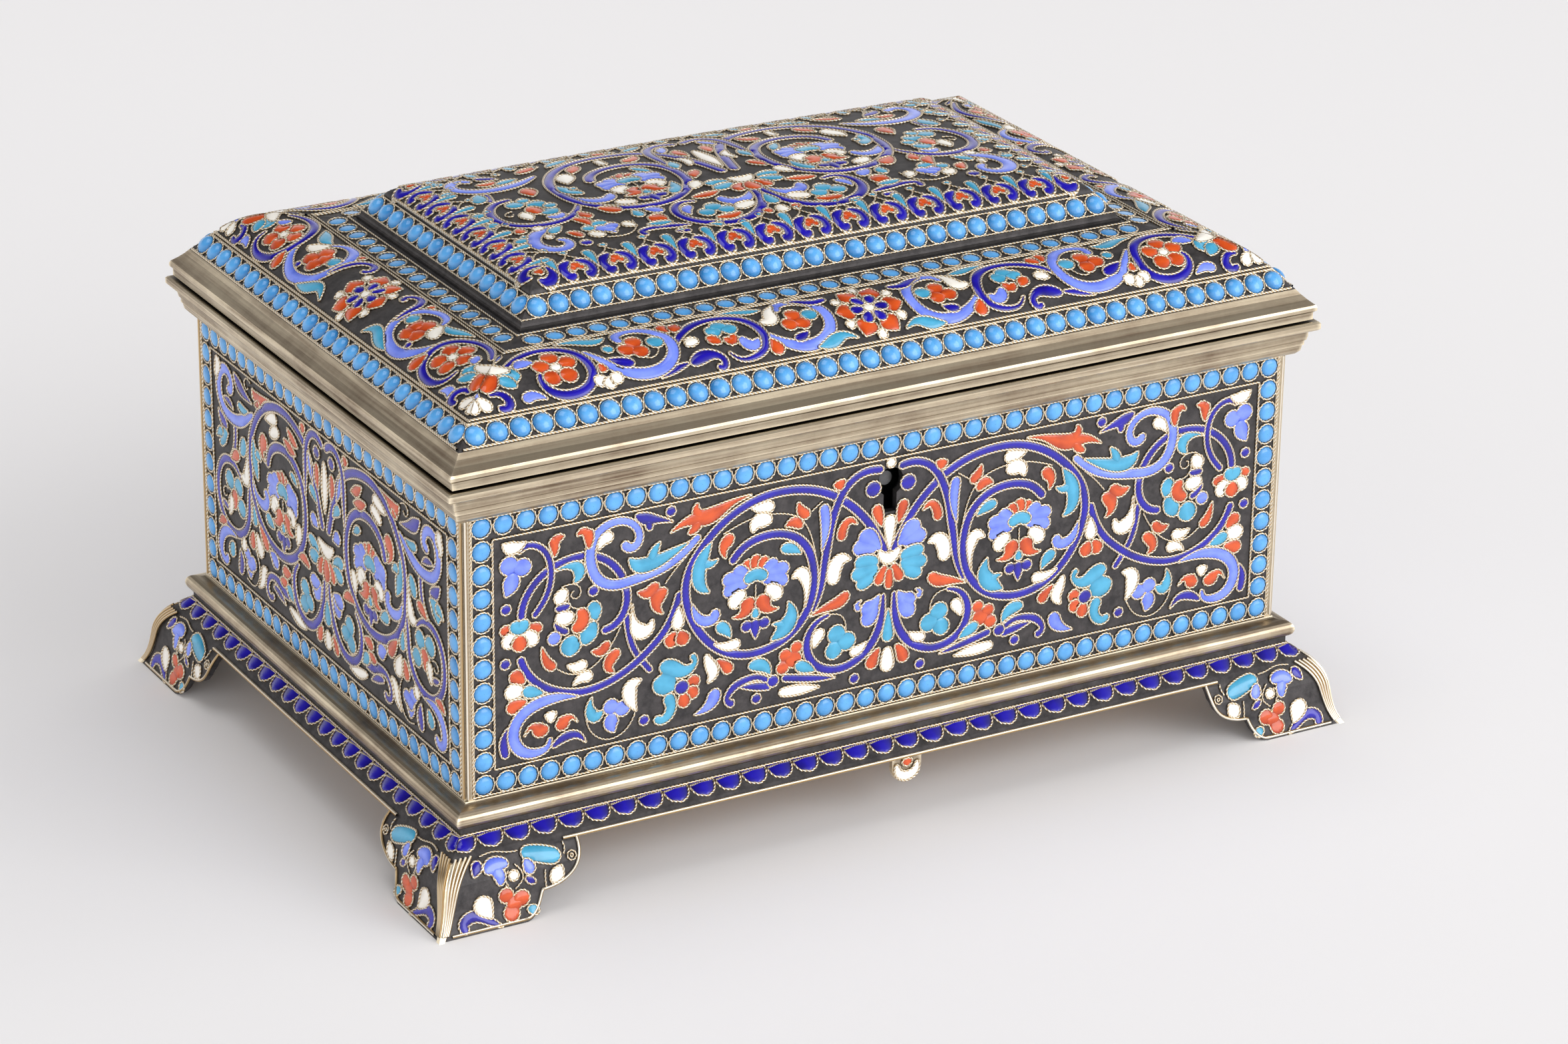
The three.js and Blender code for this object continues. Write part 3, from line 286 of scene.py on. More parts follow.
ground = plate_material("oxidised_silver", False)
lined_plate = plate_material("oxidised_silver_gilt_inside", True)
for name in ("front_panel", "back_panel", "left_panel", "right_panel", "lid_ledge", "tray_riser",
        "lid_bead_course", "tray_bead_course", "lid_band_front", "lid_band_right", "lid_band_back",
        "lid_band_left"):
    finish_node(name, lined_plate)
finish_node("apron", ground)
for corner in CORNERS:
    finish_node(f"foot_{corner}", ground)


# The enamels: glass paste laid in cells of twisted gilt wire, fired, and left a little domed. Each
# is paler where it stands proud, deeper where it lies thin against its wire, clouded, and glossy.
ENAMELS = {
    "cobalt": ("#120a5e", "#2016a6"),  # stems and scales, nearly black where thin
    "periwinkle": ("#4c62d0", "#7c92f6"),  # broad branches and lotus wings
    "turquoise": ("#2a84a8", "#4fa9cf"),  # leaves, with a green cast
    "orange": ("#9e2f0c", "#d45522"),  # buds and petals, brick red where thin
    "white": ("#e6e0d4", "#fbf7ee"),  # petals and drops, faintly cream
    "sky": ("#2878ba", "#5fa9e6"),  # the beads of the borders
}


def enamel_material(name, thin, proud):
    """Glossy enamel, coloured by the height that each point of it carries."""
    made, tree, shader = new_material(f"{name}_enamel", Roughness=0.16, IOR=1.52)
    shader.inputs["Coat Weight"].default_value = 0.4
    shader.inputs["Coat Roughness"].default_value = 0.06
    where = node(tree, "ShaderNodeTexCoord")
    rise = node(tree, "ShaderNodeAttribute", attribute_name="rise")
    cloud = node(tree, "ShaderNodeTexNoise", {"Vector": where.outputs["Object"], "Scale": 300,
            "Detail": 4})
    shift = node(tree, "ShaderNodeMapRange", {"Value": cloud.outputs["Fac"], "From Min": 0.3,
            "From Max": 0.7, "To Min": -0.4, "To Max": 0.35})
    depth = node(tree, "ShaderNodeMath", {0: rise.outputs["Fac"], 1: shift.outputs[0]},
            operation="ADD", use_clamp=True)
    tone = node(tree, "ShaderNodeMix", {"Factor": depth.outputs[0], "A": colour(thin),
            "B": colour(proud)}, data_type="RGBA")
    ripple = node(tree, "ShaderNodeBump", {"Height": cloud.outputs["Fac"], "Strength": 0.15,
            "Distance": 0.15 * MM})
    tree.links.new(tone.outputs["Result"], shader.inputs["Base Color"])
    tree.links.new(ripple.outputs[0], shader.inputs["Normal"])
    return made


enamel = {name: enamel_material(name, *tones) for name, tones in ENAMELS.items()}
ENAMEL_NAMES = list(ENAMELS)

# The twisted wire: two gilt silver threads laid round each other and soldered to the plate. It
# gives a pale corded line round every colour. The real twist is finer: this pitch lets it show.
WIRE_TONE, WIRE_GROOVE_SHADE = "#fff6e4", "#c4a678"
TWIST_PITCH, TWIST_SLANT = 0.7, 0.25
wire_gilt, tree, shader = new_material("twisted_gilt_wire", Metallic=1.0, Roughness=0.38)
lay = node(tree, "ShaderNodeAttribute", attribute_name="lay")
split = node(tree, "ShaderNodeSeparateXYZ", {"Vector": lay.outputs["Vector"]})
slant = node(tree, "ShaderNodeMath", {0: split.outputs["Y"], 1: TWIST_SLANT, 2: split.outputs["X"]},
        operation="MULTIPLY_ADD")
turns = node(tree, "ShaderNodeMath", {0: slant.outputs[0], 1: 2 * np.pi / TWIST_PITCH},
        operation="MULTIPLY")
strand = node(tree, "ShaderNodeMath", {0: turns.outputs[0]}, operation="SINE")
# Painted shade: the grooves between the two threads are coloured darker than their crests.
level_tone = node(tree, "ShaderNodeMapRange", {"Value": strand.outputs[0], "From Min": -1.0,
        "From Max": 0.4})
tone = node(tree, "ShaderNodeMix", {"Factor": level_tone.outputs[0], "A": colour(WIRE_GROOVE_SHADE),
        "B": colour(WIRE_TONE)}, data_type="RGBA")
twisted = node(tree, "ShaderNodeBump", {"Height": strand.outputs[0], "Strength": 0.5,
        "Distance": 0.08 * MM})
tree.links.new(tone.outputs["Result"], shader.inputs["Base Color"])
tree.links.new(twisted.outputs[0], shader.inputs["Normal"])

# Wires and cells, in millimetres, and how finely they are drawn
WIRE_RADIUS, WIRE_LIFT, WIRE_SIDES = 0.2, 0.13, 5
BARE_WIRE, BEAD_WIRE = WIRE_RADIUS * 0.8, WIRE_RADIUS * 0.9
ENAMEL_EDGE, ENAMEL_CREST, FULL_CREST_HALF = 0.05, 0.24, 0.75
ACROSS_CELL = np.array((-1, -0.66, 0, 0.66, 1))
CELL_STEP, FINE_STEPS, STRAIGHT_STEPS = 0.5, 160, 160
END_SHARE, END_EXTRA, THINNEST, WIDEST_SHARE, BLUNTNESS = 0.45, 0.05, 0.04, 1.1, 0.0004
ROUND_STEPS, DOT_STEPS, DOT_FULLEST, DOT_TIP = 5, 9, 1.2, 0.02
PETAL_START, PETAL_MIDDLE, PETAL_TIP = 0.25, 0.5, 0.85
SUNK, TINY = -0.45, 1e-9
BEAD_RINGS = np.array((1, 0.9, 0.66, 0.36, 0.02))[:, None]
BEAD_SIDES = 12


def spline(at, values, places):
    """Natural cubic spline: the smoothest curve through some values, worked out at other places."""
    at, values = np.asarray(at, float), np.asarray(values, float)
    if len(at) == 2:
        share = ((places - at[0]) / (at[1] - at[0]))[:, None]
        return values[0] + share * (values[1] - values[0])
    gap = np.diff(at)
    slope = np.diff(values, axis=0) / gap[:, None]
    system = np.eye(len(at))
    inner = np.arange(1, len(at) - 1)
    system[inner, inner - 1] = gap[:-1]
    system[inner, inner] = 2 * (gap[:-1] + gap[1:])
    system[inner, inner + 1] = gap[1:]
    right = np.zeros_like(values)
    right[1:-1] = 6 * np.diff(slope, axis=0)
    bend = np.linalg.solve(system, right)
    k = np.clip(np.searchsorted(at, places) - 1, 0, len(at) - 2)
    a = ((at[k + 1] - places) / gap[k])[:, None]
    b = 1 - a
    lift = ((a ** 3 - a) * bend[k] + (b ** 3 - b) * bend[k + 1]) * gap[k][:, None] ** 2 / 6
    return a * values[k] + b * values[k + 1] + lift


def run_along(path):
    """Length run along a path up to each of its points."""
    return np.r_[0, np.cumsum(np.hypot(*np.diff(path, axis=0).T))]


def smooth_path(points):
    """A smooth curve through a few points: its fine points, and the lengths along it."""
    knots = np.asarray(points, float)
    chord = run_along(knots)
    fine = spline(chord, knots, np.linspace(0, chord[-1], FINE_STEPS))
    run = run_along(fine)
    return fine, run, chord / chord[-1] * run[-1]


def along(fine, run, at):
    """Points of a fine curve at given lengths along it."""
    return np.stack([np.interp(at, run, fine[:, k]) for k in range(2)], axis=1)


class Drawing:
    """A pattern in millimetres across and up: enamel cells in order, each over those before it, and
    bare wires. What is drawn on one side of the middle line gets its twin on the other."""

    def __init__(self, middle=0.0, fullness=1.0):
        self.middle = middle
        self.fullness = fullness
        self.cells = []
        self.wires = []
        self.joins = 0
        self.joining = 0

    def cell(self, kind, points, widths, once=False):
        """A cell: a smooth spine through the points, with half widths along it and rounded ends."""
        fine, run, knots = smooth_path(points)
        length = run[-1]
        widths = np.asarray(widths, float) * self.fullness
        if len(widths) != len(knots):
            knots = np.linspace(0, length, max(len(widths), 2))
        if len(widths) == 1:
            widths = np.repeat(widths, 2)
        ends = np.minimum((widths[0], widths[-1]), END_SHARE * length) + END_EXTRA
        ease = 1 - np.cos(np.linspace(0, np.pi / 2, ROUND_STEPS))
        body = np.linspace(ends[0], length - ends[1], max(3, int(length / CELL_STEP)))
        at = np.unique(np.round(np.r_[ends[0] * ease, body, length - ends[1] * ease], 4))
        spine = along(fine, run, at)
        half = np.clip(spline(knots, widths[:, None], at)[:, 0], THINNEST,
                widths.max() * WIDEST_SHARE)
        for end, away in ((ends[0], at), (ends[1], length - at)):
            half = half * np.sqrt(np.maximum(1 - (1 - np.clip(away / end, 0, 1)) ** 2, BLUNTNESS))
        heading = np.gradient(spine, at, axis=0)
        heading /= np.linalg.norm(heading, axis=1)[:, None]
        normal = np.stack((-heading[:, 1], heading[:, 0]), axis=1)
        self.add(kind, spine, half, normal, once)

    def add(self, kind, spine, half, normal, once):
        """Keeps a cell, and its twin on the other side of the middle line."""
        self.cells.append((kind, spine, half, normal, self.joining))
        if not once:
            flip = np.array((-1, 1))
            place = np.array((2 * self.middle, 0))
            self.cells.append((kind, spine * flip + place, half, -normal * flip, -self.joining))

    def dot(self, kind, centre, radius, once=False):
        """A round cell."""
        turn = np.linspace(0, np.pi, DOT_STEPS)
        radius = radius * min(self.fullness, DOT_FULLEST)
        spine = np.array(centre) + np.stack((-np.cos(turn) * radius, 0 * turn), axis=1)
        half = np.maximum(np.sin(turn), DOT_TIP) * radius
        normal = np.tile((0.0, 1.0), (len(turn), 1))
        self.add(kind, spine, half, normal, once)

    def petals(self, kind, heart, tips, root, width):
        """Drop-shaped petals from one heart out to several tips."""
        for tip in tips:
            start = np.array(heart, float) + PETAL_START * (np.array(tip) - heart)
            middle = start + PETAL_MIDDLE * (np.array(tip) - start)
            self.cell(kind, [start, middle, tip], (root, width, width * PETAL_TIP))

    def joined(self, kind, *lobes, once=False):
        """One cell of several lobes, each a spine with its half widths, or a round one's centre and
        radius. The wire runs round them all."""
        self.joins += 1
        self.joining = self.joins
        for place, size in lobes:
            if np.ndim(size):
                self.cell(kind, place, size, once)
            else:
                self.dot(kind, place, size, once)
        self.joining = 0

    def cluster(self, kind, radius, *centres):
        """One cell of round lobes of the same size."""
        self.joined(kind, *((centre, radius) for centre in centres))

    def wire(self, points, once=False):
        """A bare wire."""
        fine, run, _ = smooth_path(points)
        path = along(fine, run, np.linspace(0, run[-1], max(4, int(run[-1] / CELL_STEP))))
        self.wires.append(path)
        if not once:
            self.wires.append(path * (-1, 1) + (2 * self.middle, 0))


def outline(cell):
    """Edge of a cell: up one side of its spine and back down the other."""
    _, spine, half, normal, _ = cell
    left = spine + half[:, None] * normal
    right = spine - half[:, None] * normal
    return np.concatenate((left, right[-2:0:-1]))


def inside(points, edge):
    """Which points lie within a closed edge, by counting the crossings of a level line."""
    x, y = points[:, 0, None], points[:, 1, None]
    ax, ay = edge[None, :, 0], edge[None, :, 1]
    bx, by = np.roll(ax, -1, axis=1), np.roll(ay, -1, axis=1)
    spans = (ay > y) != (by > y)
    cross = ax + (y - ay) * (bx - ax) / np.where(np.abs(by - ay) < TINY, TINY, by - ay)
    return (spans & (x < cross)).sum(axis=1) % 2 == 1


def covered(points, edges):
    """Which points are within any of some cells' edges."""
    hidden = np.zeros(len(points), bool)
    low, high = points.min(axis=0), points.max(axis=0)
    for edge in edges:
        if (edge.min(axis=0) < high).all() and (edge.max(axis=0) > low).all():
            hidden |= inside(points, edge)
    return hidden


def grid_faces(rows, columns, closed_rows=False, closed_columns=False):
    """Four-sided faces of a grid of points, whose last row or column may join the first."""
    i = np.arange(rows if closed_rows else rows - 1)[:, None]
    j = np.arange(columns if closed_columns else columns - 1)[None, :]
    i2, j2 = (i + 1) % rows, (j + 1) % columns
    return np.stack((i * columns + j, i2 * columns + j, i2 * columns + j2, i * columns + j2),
            axis=-1).reshape(-1, 4)


class Heap:
    """Meshes gathered into one piece, with each face's material and what each point carries."""

    def __init__(self):
        self.parts = []
        self.count = 0

    def take(self, points, faces, slot=0, rise=None, lay=None):
        """Adds one grid's points and faces."""
        points = points.reshape(-1, 3)
        rise = np.zeros(len(points)) if rise is None else rise.ravel()
        lay = np.zeros((len(points), 3)) if lay is None else lay.reshape(-1, 3)
        self.parts.append((points, faces + self.count, np.full(len(faces), slot), rise, lay))
        self.count += len(points)

    def piece(self, name, body, slot, materials):
        """Makes the object, in metres, and sets it riding on its body."""
        points, faces, slots, rise, lay = (np.concatenate(part) for part in zip(*self.parts))
        mesh = bpy.data.meshes.new(name)
        mesh.from_pydata((points * MM).tolist(), [], faces.tolist())
        mesh.polygons.foreach_set("use_smooth", np.ones(len(faces), bool))
        mesh.polygons.foreach_set("material_index", slots.astype(np.int32))
        rises = mesh.attributes.new("rise", "FLOAT", "POINT")
        rises.data.foreach_set("value", rise.astype(np.float32))
        lays = mesh.attributes.new("lay", "FLOAT_VECTOR", "POINT")
        lays.data.foreach_set("vector", lay.astype(np.float32).ravel())
        for made in materials:
            mesh.materials.append(made)
        made = bpy.data.objects.new(name, mesh)
        bpy.context.scene.collection.objects.link(made)
        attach(made, body)
        return made


def lay_wire(heap, path, place, hidden=False, closed=False, radius=WIRE_RADIUS, lift=WIRE_LIFT,
             twisted=True):
    """A round tube along a path on a surface. It dives under whatever lies over it."""
    ahead = np.gradient(path, axis=0)
    if closed:
        ahead = np.roll(path, -1, axis=0) - np.roll(path, 1, axis=0)
    ahead /= np.maximum(np.linalg.norm(ahead, axis=1), 1e-6)[:, None]
    side = np.stack((-ahead[:, 1], ahead[:, 0]), axis=1)
    turn = np.linspace(0, 2 * np.pi, WIRE_SIDES, endpoint=False) + np.pi / 2
    flat = path[:, None] + radius * np.cos(turn)[None, :, None] * side[:, None]
    depth = np.where(hidden + np.zeros(len(path), bool), SUNK, 0)
    height = lift + radius * np.sin(turn)[None, :] + depth[:, None]
    run = run_along(path) * twisted
    lay = np.stack(np.broadcast_arrays(run[:, None], np.cos(turn)[None, :], 0.0), axis=-1)
    points = place(flat[..., 0], flat[..., 1], height)
    heap.take(points, grid_faces(len(path), WIRE_SIDES, closed, True)[:, ::-1], lay=lay)


def straight_wire(heap, start, end, place, steps=STRAIGHT_STEPS, **settings):
    """A straight wire from one point of a surface to another."""
    lay_wire(heap, np.linspace(start, end, steps), place, **settings)


def fire(fill, wires, drawing, place):
    """Fires a drawing onto a surface: its enamels go to one heap and its wires to another."""
    edges = [outline(cell) for cell in drawing.cells]
    joins = [cell[4] for cell in drawing.cells]
    for k, (kind, spine, half, normal, join) in enumerate(drawing.cells):
        over = [edges[j] for j in range(k + 1, len(edges)) if not join or joins[j] != join]
        mates = [edges[j] for j in range(len(edges)) if join and joins[j] == join and j != k]
        flat = spine[:, None] + (half[:, None] * ACROSS_CELL)[..., None] * normal[:, None]
        crest = np.minimum(half[:, None] / FULL_CREST_HALF, 1) ** 0.5
        swell = (1 - ACROSS_CELL[None, :] ** 2) * crest
        hidden = covered(flat.reshape(-1, 2), over).reshape(swell.shape)
        height = ENAMEL_EDGE + ENAMEL_CREST * swell + np.where(hidden, SUNK, 0)
        points = place(flat[..., 0], flat[..., 1], height)
        fill.take(points, grid_faces(*swell.shape)[:, ::-1], ENAMEL_NAMES.index(kind), rise=swell)
        lay_wire(wires, edges[k], place, covered(edges[k], over + mates), True)
    for path in drawing.wires:
        lay_wire(wires, path, place, covered(path, edges), radius=BARE_WIRE)


def bead(fill, wires, u, v, radius, height, place):
    """A domed bead of pale blue enamel in a ring of wire."""
    turn = np.linspace(0, 2 * np.pi, BEAD_SIDES, endpoint=False)
    swell = np.sqrt(1 - BEAD_RINGS ** 2)
    reach = (radius - WIRE_RADIUS) * BEAD_RINGS
    points = place(u + reach * np.cos(turn), v + reach * np.sin(turn),
            ENAMEL_EDGE + height * swell + 0 * turn)
    faces = grid_faces(len(BEAD_RINGS), BEAD_SIDES, closed_columns=True)
    fill.take(points, faces, ENAMEL_NAMES.index("sky"), rise=swell + 0 * turn)
    ring = np.stack((u + radius * np.cos(turn), v + radius * np.sin(turn)), axis=1)
    lay_wire(wires, ring[::-1], place, closed=True, radius=BEAD_WIRE)


def finish_plate(name, body, fill, wires):
    """Makes the two pieces of a plate: the enamels and the wires."""
    fill.piece(f"{name}_enamels", body, "enamel", [enamel[kind] for kind in ENAMEL_NAMES])
    wires.piece(f"{name}_wires", body, "enamel", [wire_gilt])


# The front and back walls. On each a long cobalt stem winds into a lotus wheel and an outer wheel
# on either side of the keyhole, with buds, leaves and trefoils of poured enamel between.
def lotus(art, x, y):
    """A lotus seen from the side: three orange lobes, blue wings, drops and a cobalt foot."""
    for turn in (-1, 0, 1):
        lobe = [(x + 0.9 * turn, y + 1.6), (x + 1.5 * turn, y + 3),
                (x + 2 * turn, y + 4.5 - 0.7 * abs(turn))]
        art.cell("orange", lobe, (0.7, 0.95, 0.95))
    for turn in (-1, 1):
        wing = []
        for reach, rise in ((3.9, 2.8), (6, 1), (5.8, -1.2)):
            bend = (x + 2.4 * turn, y + 0.5 + 0.45 * rise)
            feather = [(x + turn, y + 0.4), bend, (x + reach * turn, y + rise)]
            wing.append((feather, (0.8, 1.05, 1.15)))
        art.joined("periwinkle", *wing)
        art.cell("white", [(x + 1.9 * turn, y - 1.4), (x + 3.4 * turn, y - 2.6),
                (x + 4.6 * turn, y - 3.6)], (0.7, 1.2, 1.2))
    art.cell("turquoise", [(x - 2, y + 0.1), (x, y + 1.1), (x + 2, y + 0.1)], (0.95, 1, 0.95))
    for turn in (-1, 1):
        art.cell("orange", [(x + 1.1 * turn, y - 2.5), (x + 1.4 * turn, y - 4),
                (x + 2.4 * turn, y - 5.3), (x + 4.2 * turn, y - 5.5)], (0.9, 1.3, 0.7, 0.12))
    lobes = [([(x, y - 6.6), (x, y - 8.2), (x, y - 10)], (0.7, 0.8, 0.1)),
            ((x - 1.6, y - 7.5), 0.9), ((x + 1.6, y - 7.5), 0.9)]
    art.joined("cobalt", *lobes)
    art.cell("turquoise", [(x, y - 4.6), (x, y - 6.4)], (0.4, 0.9))
    art.wire([(x, y - 0.6), (x, y - 4)])


wall = Drawing(fullness=1.1)
# Stems, in the order that they pass over each other
wall.cell("cobalt", [(-47.2, 44), (-46.8, 41), (-46, 38), (-44.6, 35.6), (-42.8, 33.2)], [0.5])
wall.cell("cobalt", [(-65.3, 46.6), (-65.2, 48), (-64.4, 50.3), (-62.5, 52.7), (-60, 54.3),
        (-57, 55.1), (-54, 55.1), (-51, 53.9), (-48.7, 51.7), (-47.4, 49), (-47.1, 46), (-48, 43.7),
        (-49.7, 42.3), (-51.5, 41.9)], [0.62])
wall.cell("cobalt", [(-66, 57.9), (-64.3, 58.8), (-62.5, 58.4), (-60.9, 56.8), (-60.2, 54.5),
        (-60.3, 51.8), (-61.2, 49.4), (-63.3, 46.7)], [0.5])
wall.cell("cobalt", [(-37.7, 45.8), (-38.6, 43), (-40.6, 39.5), (-43.2, 37), (-46.5, 34.7),
        (-50.5, 33), (-55, 32.4), (-59, 33.3), (-62.4, 35.3), (-64.8, 38.3), (-65.6, 40.5)], [0.62])
wall.cell("periwinkle", [(-34.3, 54.6), (-38, 51.7), (-42, 50.1), (-46, 49.4), (-49.5, 49.3),
        (-52, 50.7), (-53.2, 53.2), (-53.3, 56), (-52.1, 58.4), (-49.9, 59.6), (-47.3, 59.5),
        (-45.4, 58.1), (-44.9, 56.2), (-45.9, 54.9), (-47.2, 55.3), (-47.3, 56.2)],
        (0.55, 0.8, 0.8, 0.85, 0.75, 0.6, 0.8))
wall.cell("cobalt", [(-0.6, 44.6), (-3, 49.2), (-5.4, 52.4), (-8.2, 55), (-11.3, 57), (-15, 58.4),
        (-19, 59), (-23, 58.8), (-27, 57.6), (-31, 55.2), (-34.2, 52), (-36.1, 49), (-36.8, 45.6),
        (-36.2, 42), (-34.7, 38.7), (-32, 35.4), (-28.6, 33.2), (-25, 32.4), (-21.4, 32.8),
        (-18, 34.3), (-15.4, 37), (-13.9, 41), (-13.9, 45), (-15.1, 48.6), (-17.4, 50.9),
        (-20.4, 52), (-23.6, 52), (-26.6, 50.9), (-28.8, 48.6)], [0.68])
wall.cell("cobalt", [(-1.4, 59.2), (-4, 59.5), (-6.6, 58.7), (-8.6, 56.8), (-10, 54), (-10.9, 51),
        (-11.4, 48), (-11.9, 45), (-12.3, 42), (-13, 39.4), (-14, 37.2)], (0.65, 0.65, 0.65, 0.3))
wall.cell("cobalt", [(-1, 37.8), (-1.1, 35), (-1.7, 32), (-3.1, 29.4), (-5.4, 27.4), (-8.2, 26.4),
        (-11.2, 26.7), (-13.7, 28.3), (-14.9, 31), (-14.5, 33.7), (-12.9, 35.5), (-10.8, 36.2)],
        (0.3, 0.7, 0.7, 0.7, 0.65, 0.3))
wall.wire([(-10.8, 36.2), (-8.9, 35.7), (-7.9, 34.2), (-7.8, 32.6)])
wall.cell("cobalt", [(-19.4, 27), (-16, 26.2), (-12.6, 25.5), (-9.6, 25)], (0.6, 0.6, 0.5, 0.1))

# Upper left corner: a white bud on its hook, a blue trefoil and two orange buds
wall.cell("white", [(-68.4, 59.9), (-67.2, 59), (-65.8, 58.9), (-64.4, 59.5)],
        (0.1, 0.95, 0.8, 0.15))
wall.joined("periwinkle", ((-67.3, 56.1), 1.45), ((-65, 55.4), 1.4),
        ([(-66.6, 54.8), (-67, 52.9), (-68, 51)], (0.8, 1.3, 0.15)))
wall.joined("orange", ([(-59.6, 56), (-59.5, 57.8), (-60, 59.2)], (0.2, 0.75, 0.7)),
        ([(-59.6, 57.6), (-58.9, 59), (-57.8, 59.1)], (0.5, 0.7, 0.15)))
wall.joined("orange", ([(-53.7, 56.2), (-53.6, 57.9), (-53.9, 59.5)], (0.3, 0.8, 0.85)),
        ([(-53.8, 58.6), (-54.8, 59.3), (-55.7, 58.7)], (0.8, 0.6, 0.15)))
wall.cell("white", [(-52, 55.7), (-50.8, 57.3), (-49.4, 57.4)], (0.15, 0.9, 0.85))
for spot in ((-67.9, 48.9), (-68.1, 39.8), (-52.9, 49), (-44.1, 25.1), (-24, 24.4), (-6.1, 24)):
    wall.dot("cobalt", spot, 0.8)

# Leaves above the blue branch
wall.joined("cobalt", ([(-45.6, 60.2), (-44, 59.3), (-42.2, 58.8), (-39, 57.8)],
        (0.3, 0.95, 0.7, 0.12)), ([(-43.4, 58.8), (-43, 57.1)], (0.7, 0.5)))
wall.dot("cobalt", (-39.4, 59.6), 0.8)
wall.joined("turquoise", ([(-46.7, 53.2), (-45.5, 51.9), (-43, 51.5), (-40, 52.3), (-36.2, 53.8)],
        (0.15, 1, 1.15, 0.85, 0.1)), ([(-42.8, 52), (-42.1, 53.8), (-41.2, 54.9)],
        (0.9, 0.65, 0.12)))
wall.joined("orange", ([(-25.2, 59.6), (-29, 58.8), (-33, 57.4), (-36.4, 57.3), (-39.5, 56)],
        (0.12, 0.6, 1.3, 0.75, 0.12)), ([(-34, 57.6), (-35, 59), (-34.7, 60.1)], (0.9, 0.65, 0.15)),
        ([(-34.4, 57), (-35.3, 55.8), (-36.4, 55.2)], (0.9, 0.7, 0.3)))

# The side flower, half hidden by the wheel, and the palmette below it
wall.petals("orange", (-65.6, 45.4), [(-69, 45.4), (-61.7, 44.6)], 0.4, 0.85)
wall.petals("white", (-65.6, 45.4), [(-68.3, 42.6), (-62.7, 42.2)], 0.5, 1.15)
wall.petals("orange", (-65.6, 45.2), [(-65.6, 41.4)], 0.5, 1.25)
wall.cell("turquoise", [(-67, 46.5), (-65.6, 45.4), (-64.2, 46.5)], (0.85, 1.1, 0.85))
wall.cell("orange", [(-64.8, 36), (-66.3, 37.3), (-67.3, 38)], (0.3, 1.15, 0.9))
wall.cell("orange", [(-64.5, 32.9), (-66.4, 32.4), (-68, 32)], (0.3, 1.05, 1))
wall.cell("white", [(-64.8, 34.9), (-66.8, 34.9), (-68.2, 35.2)], (0.6, 1.25, 1.2))
wall.cell("turquoise", [(-61.6, 33.6), (-63.6, 34.2), (-65.2, 34.9)], (0.2, 1, 0.8))

# Inside the outer wheel: a five-petalled flower with a striped white bud over it
wall.cell("turquoise", [(-59.6, 53.6), (-57.2, 54), (-55.4, 53.2), (-55.5, 51.8), (-56.3, 51)],
        (0.12, 0.5, 1, 0.75, 0.15))
wall.cell("white", [(-57.4, 50.1), (-58.4, 49.2), (-59.1, 48)], (0.5, 1.05, 0.85))
wall.cell("cobalt", [(-59.5, 47.4), (-58.2, 47.2), (-56.9, 47.5)], (0.4, 0.65, 0.3))
wall.cell("cobalt", [(-59.6, 45), (-58.6, 43.6), (-57.2, 43)], (0.2, 0.55, 0.5))
wall.cell("white", [(-59.3, 46.2), (-57.7, 45.4), (-56.4, 46)], (0.8, 1.1, 0.8))
wall.dot("periwinkle", (-59.7, 42.4), 1.05)
wall.wire([(-58.4, 50.7), (-56.6, 50.9), (-55.2, 50), (-55.3, 48.6), (-56.3, 48.4), (-56.8, 49.2),
        (-56.2, 49.7)])
wall.wire([(-57.2, 49), (-57, 47.4), (-56, 46.7), (-54.4, 46.3)])
wall.cell("turquoise", [(-56.4, 42.3), (-56.9, 40.4), (-57.1, 38.8)], (1.1, 1.65, 1.4))
wall.cell("turquoise", [(-55, 43), (-53.4, 41.9), (-52.4, 41.3)], (1.2, 1.95, 1.6))
wall.cell("turquoise", [(-54, 45.1), (-52.6, 45.6), (-51.5, 45.7)], (1.1, 1.6, 1.4))
wall.cell("orange", [(-55.7, 46.3), (-54.7, 45.1), (-55.3, 43.7), (-56.7, 43.5)],
        (0.6, 1.05, 1.1, 0.7))
wall.cell("orange", [(-61.8, 41.4), (-61.3, 39.4), (-60.4, 38), (-59.4, 37.5)],
        (0.12, 0.6, 0.8, 0.7))
wall.wire([(-59.3, 37.2), (-57.3, 35.9), (-55, 35.6), (-52.6, 36.5), (-50.6, 38.3), (-49.3, 40),
        (-48.2, 42)])
wall.cell("white", [(-57.5, 37.4), (-55.7, 36.7), (-54.1, 37.2)], (0.15, 0.8, 0.8))
wall.cell("white", [(-56.5, 33.8), (-54.9, 34.8), (-53.1, 34.6)], (0.12, 0.75, 0.9))
wall.cell("orange", [(-53.3, 38.9), (-51.5, 38.6), (-50.3, 40)], (0.15, 0.85, 0.6))
wall.cell("orange", [(-48.3, 38), (-50, 36.7), (-50.3, 35.4), (-49.3, 34.5)],
        (0.7, 0.95, 0.7, 0.12))

# Between the wheels: an orange butterfly, a white hook and a three-drop bud
wall.wire([(-40.4, 47.6), (-38.6, 49.7), (-36.4, 51.7)])
wall.joined("orange", ([(-45.3, 47.2), (-43.5, 46.7), (-41.6, 48)], (0.15, 0.9, 0.8)),
        ([(-40, 46.6), (-41.7, 45.4), (-41.8, 43.8), (-40.7, 42.6)], (0.6, 1.15, 0.7, 0.1)))
wall.cell("white", [(-46.1, 45.4), (-45.9, 42.4), (-44.6, 40.4), (-43.2, 40.6), (-42.6, 42.1)],
        (0.1, 0.55, 1.25, 0.85, 0.15))
wall.petals("orange", (-38.2, 40), [(-39.8, 36.6), (-36.8, 36.5)], 0.3, 1.15)
wall.cell("white", [(-38, 43.2), (-38.1, 41), (-38.2, 39.4)], (0.12, 0.95, 1))

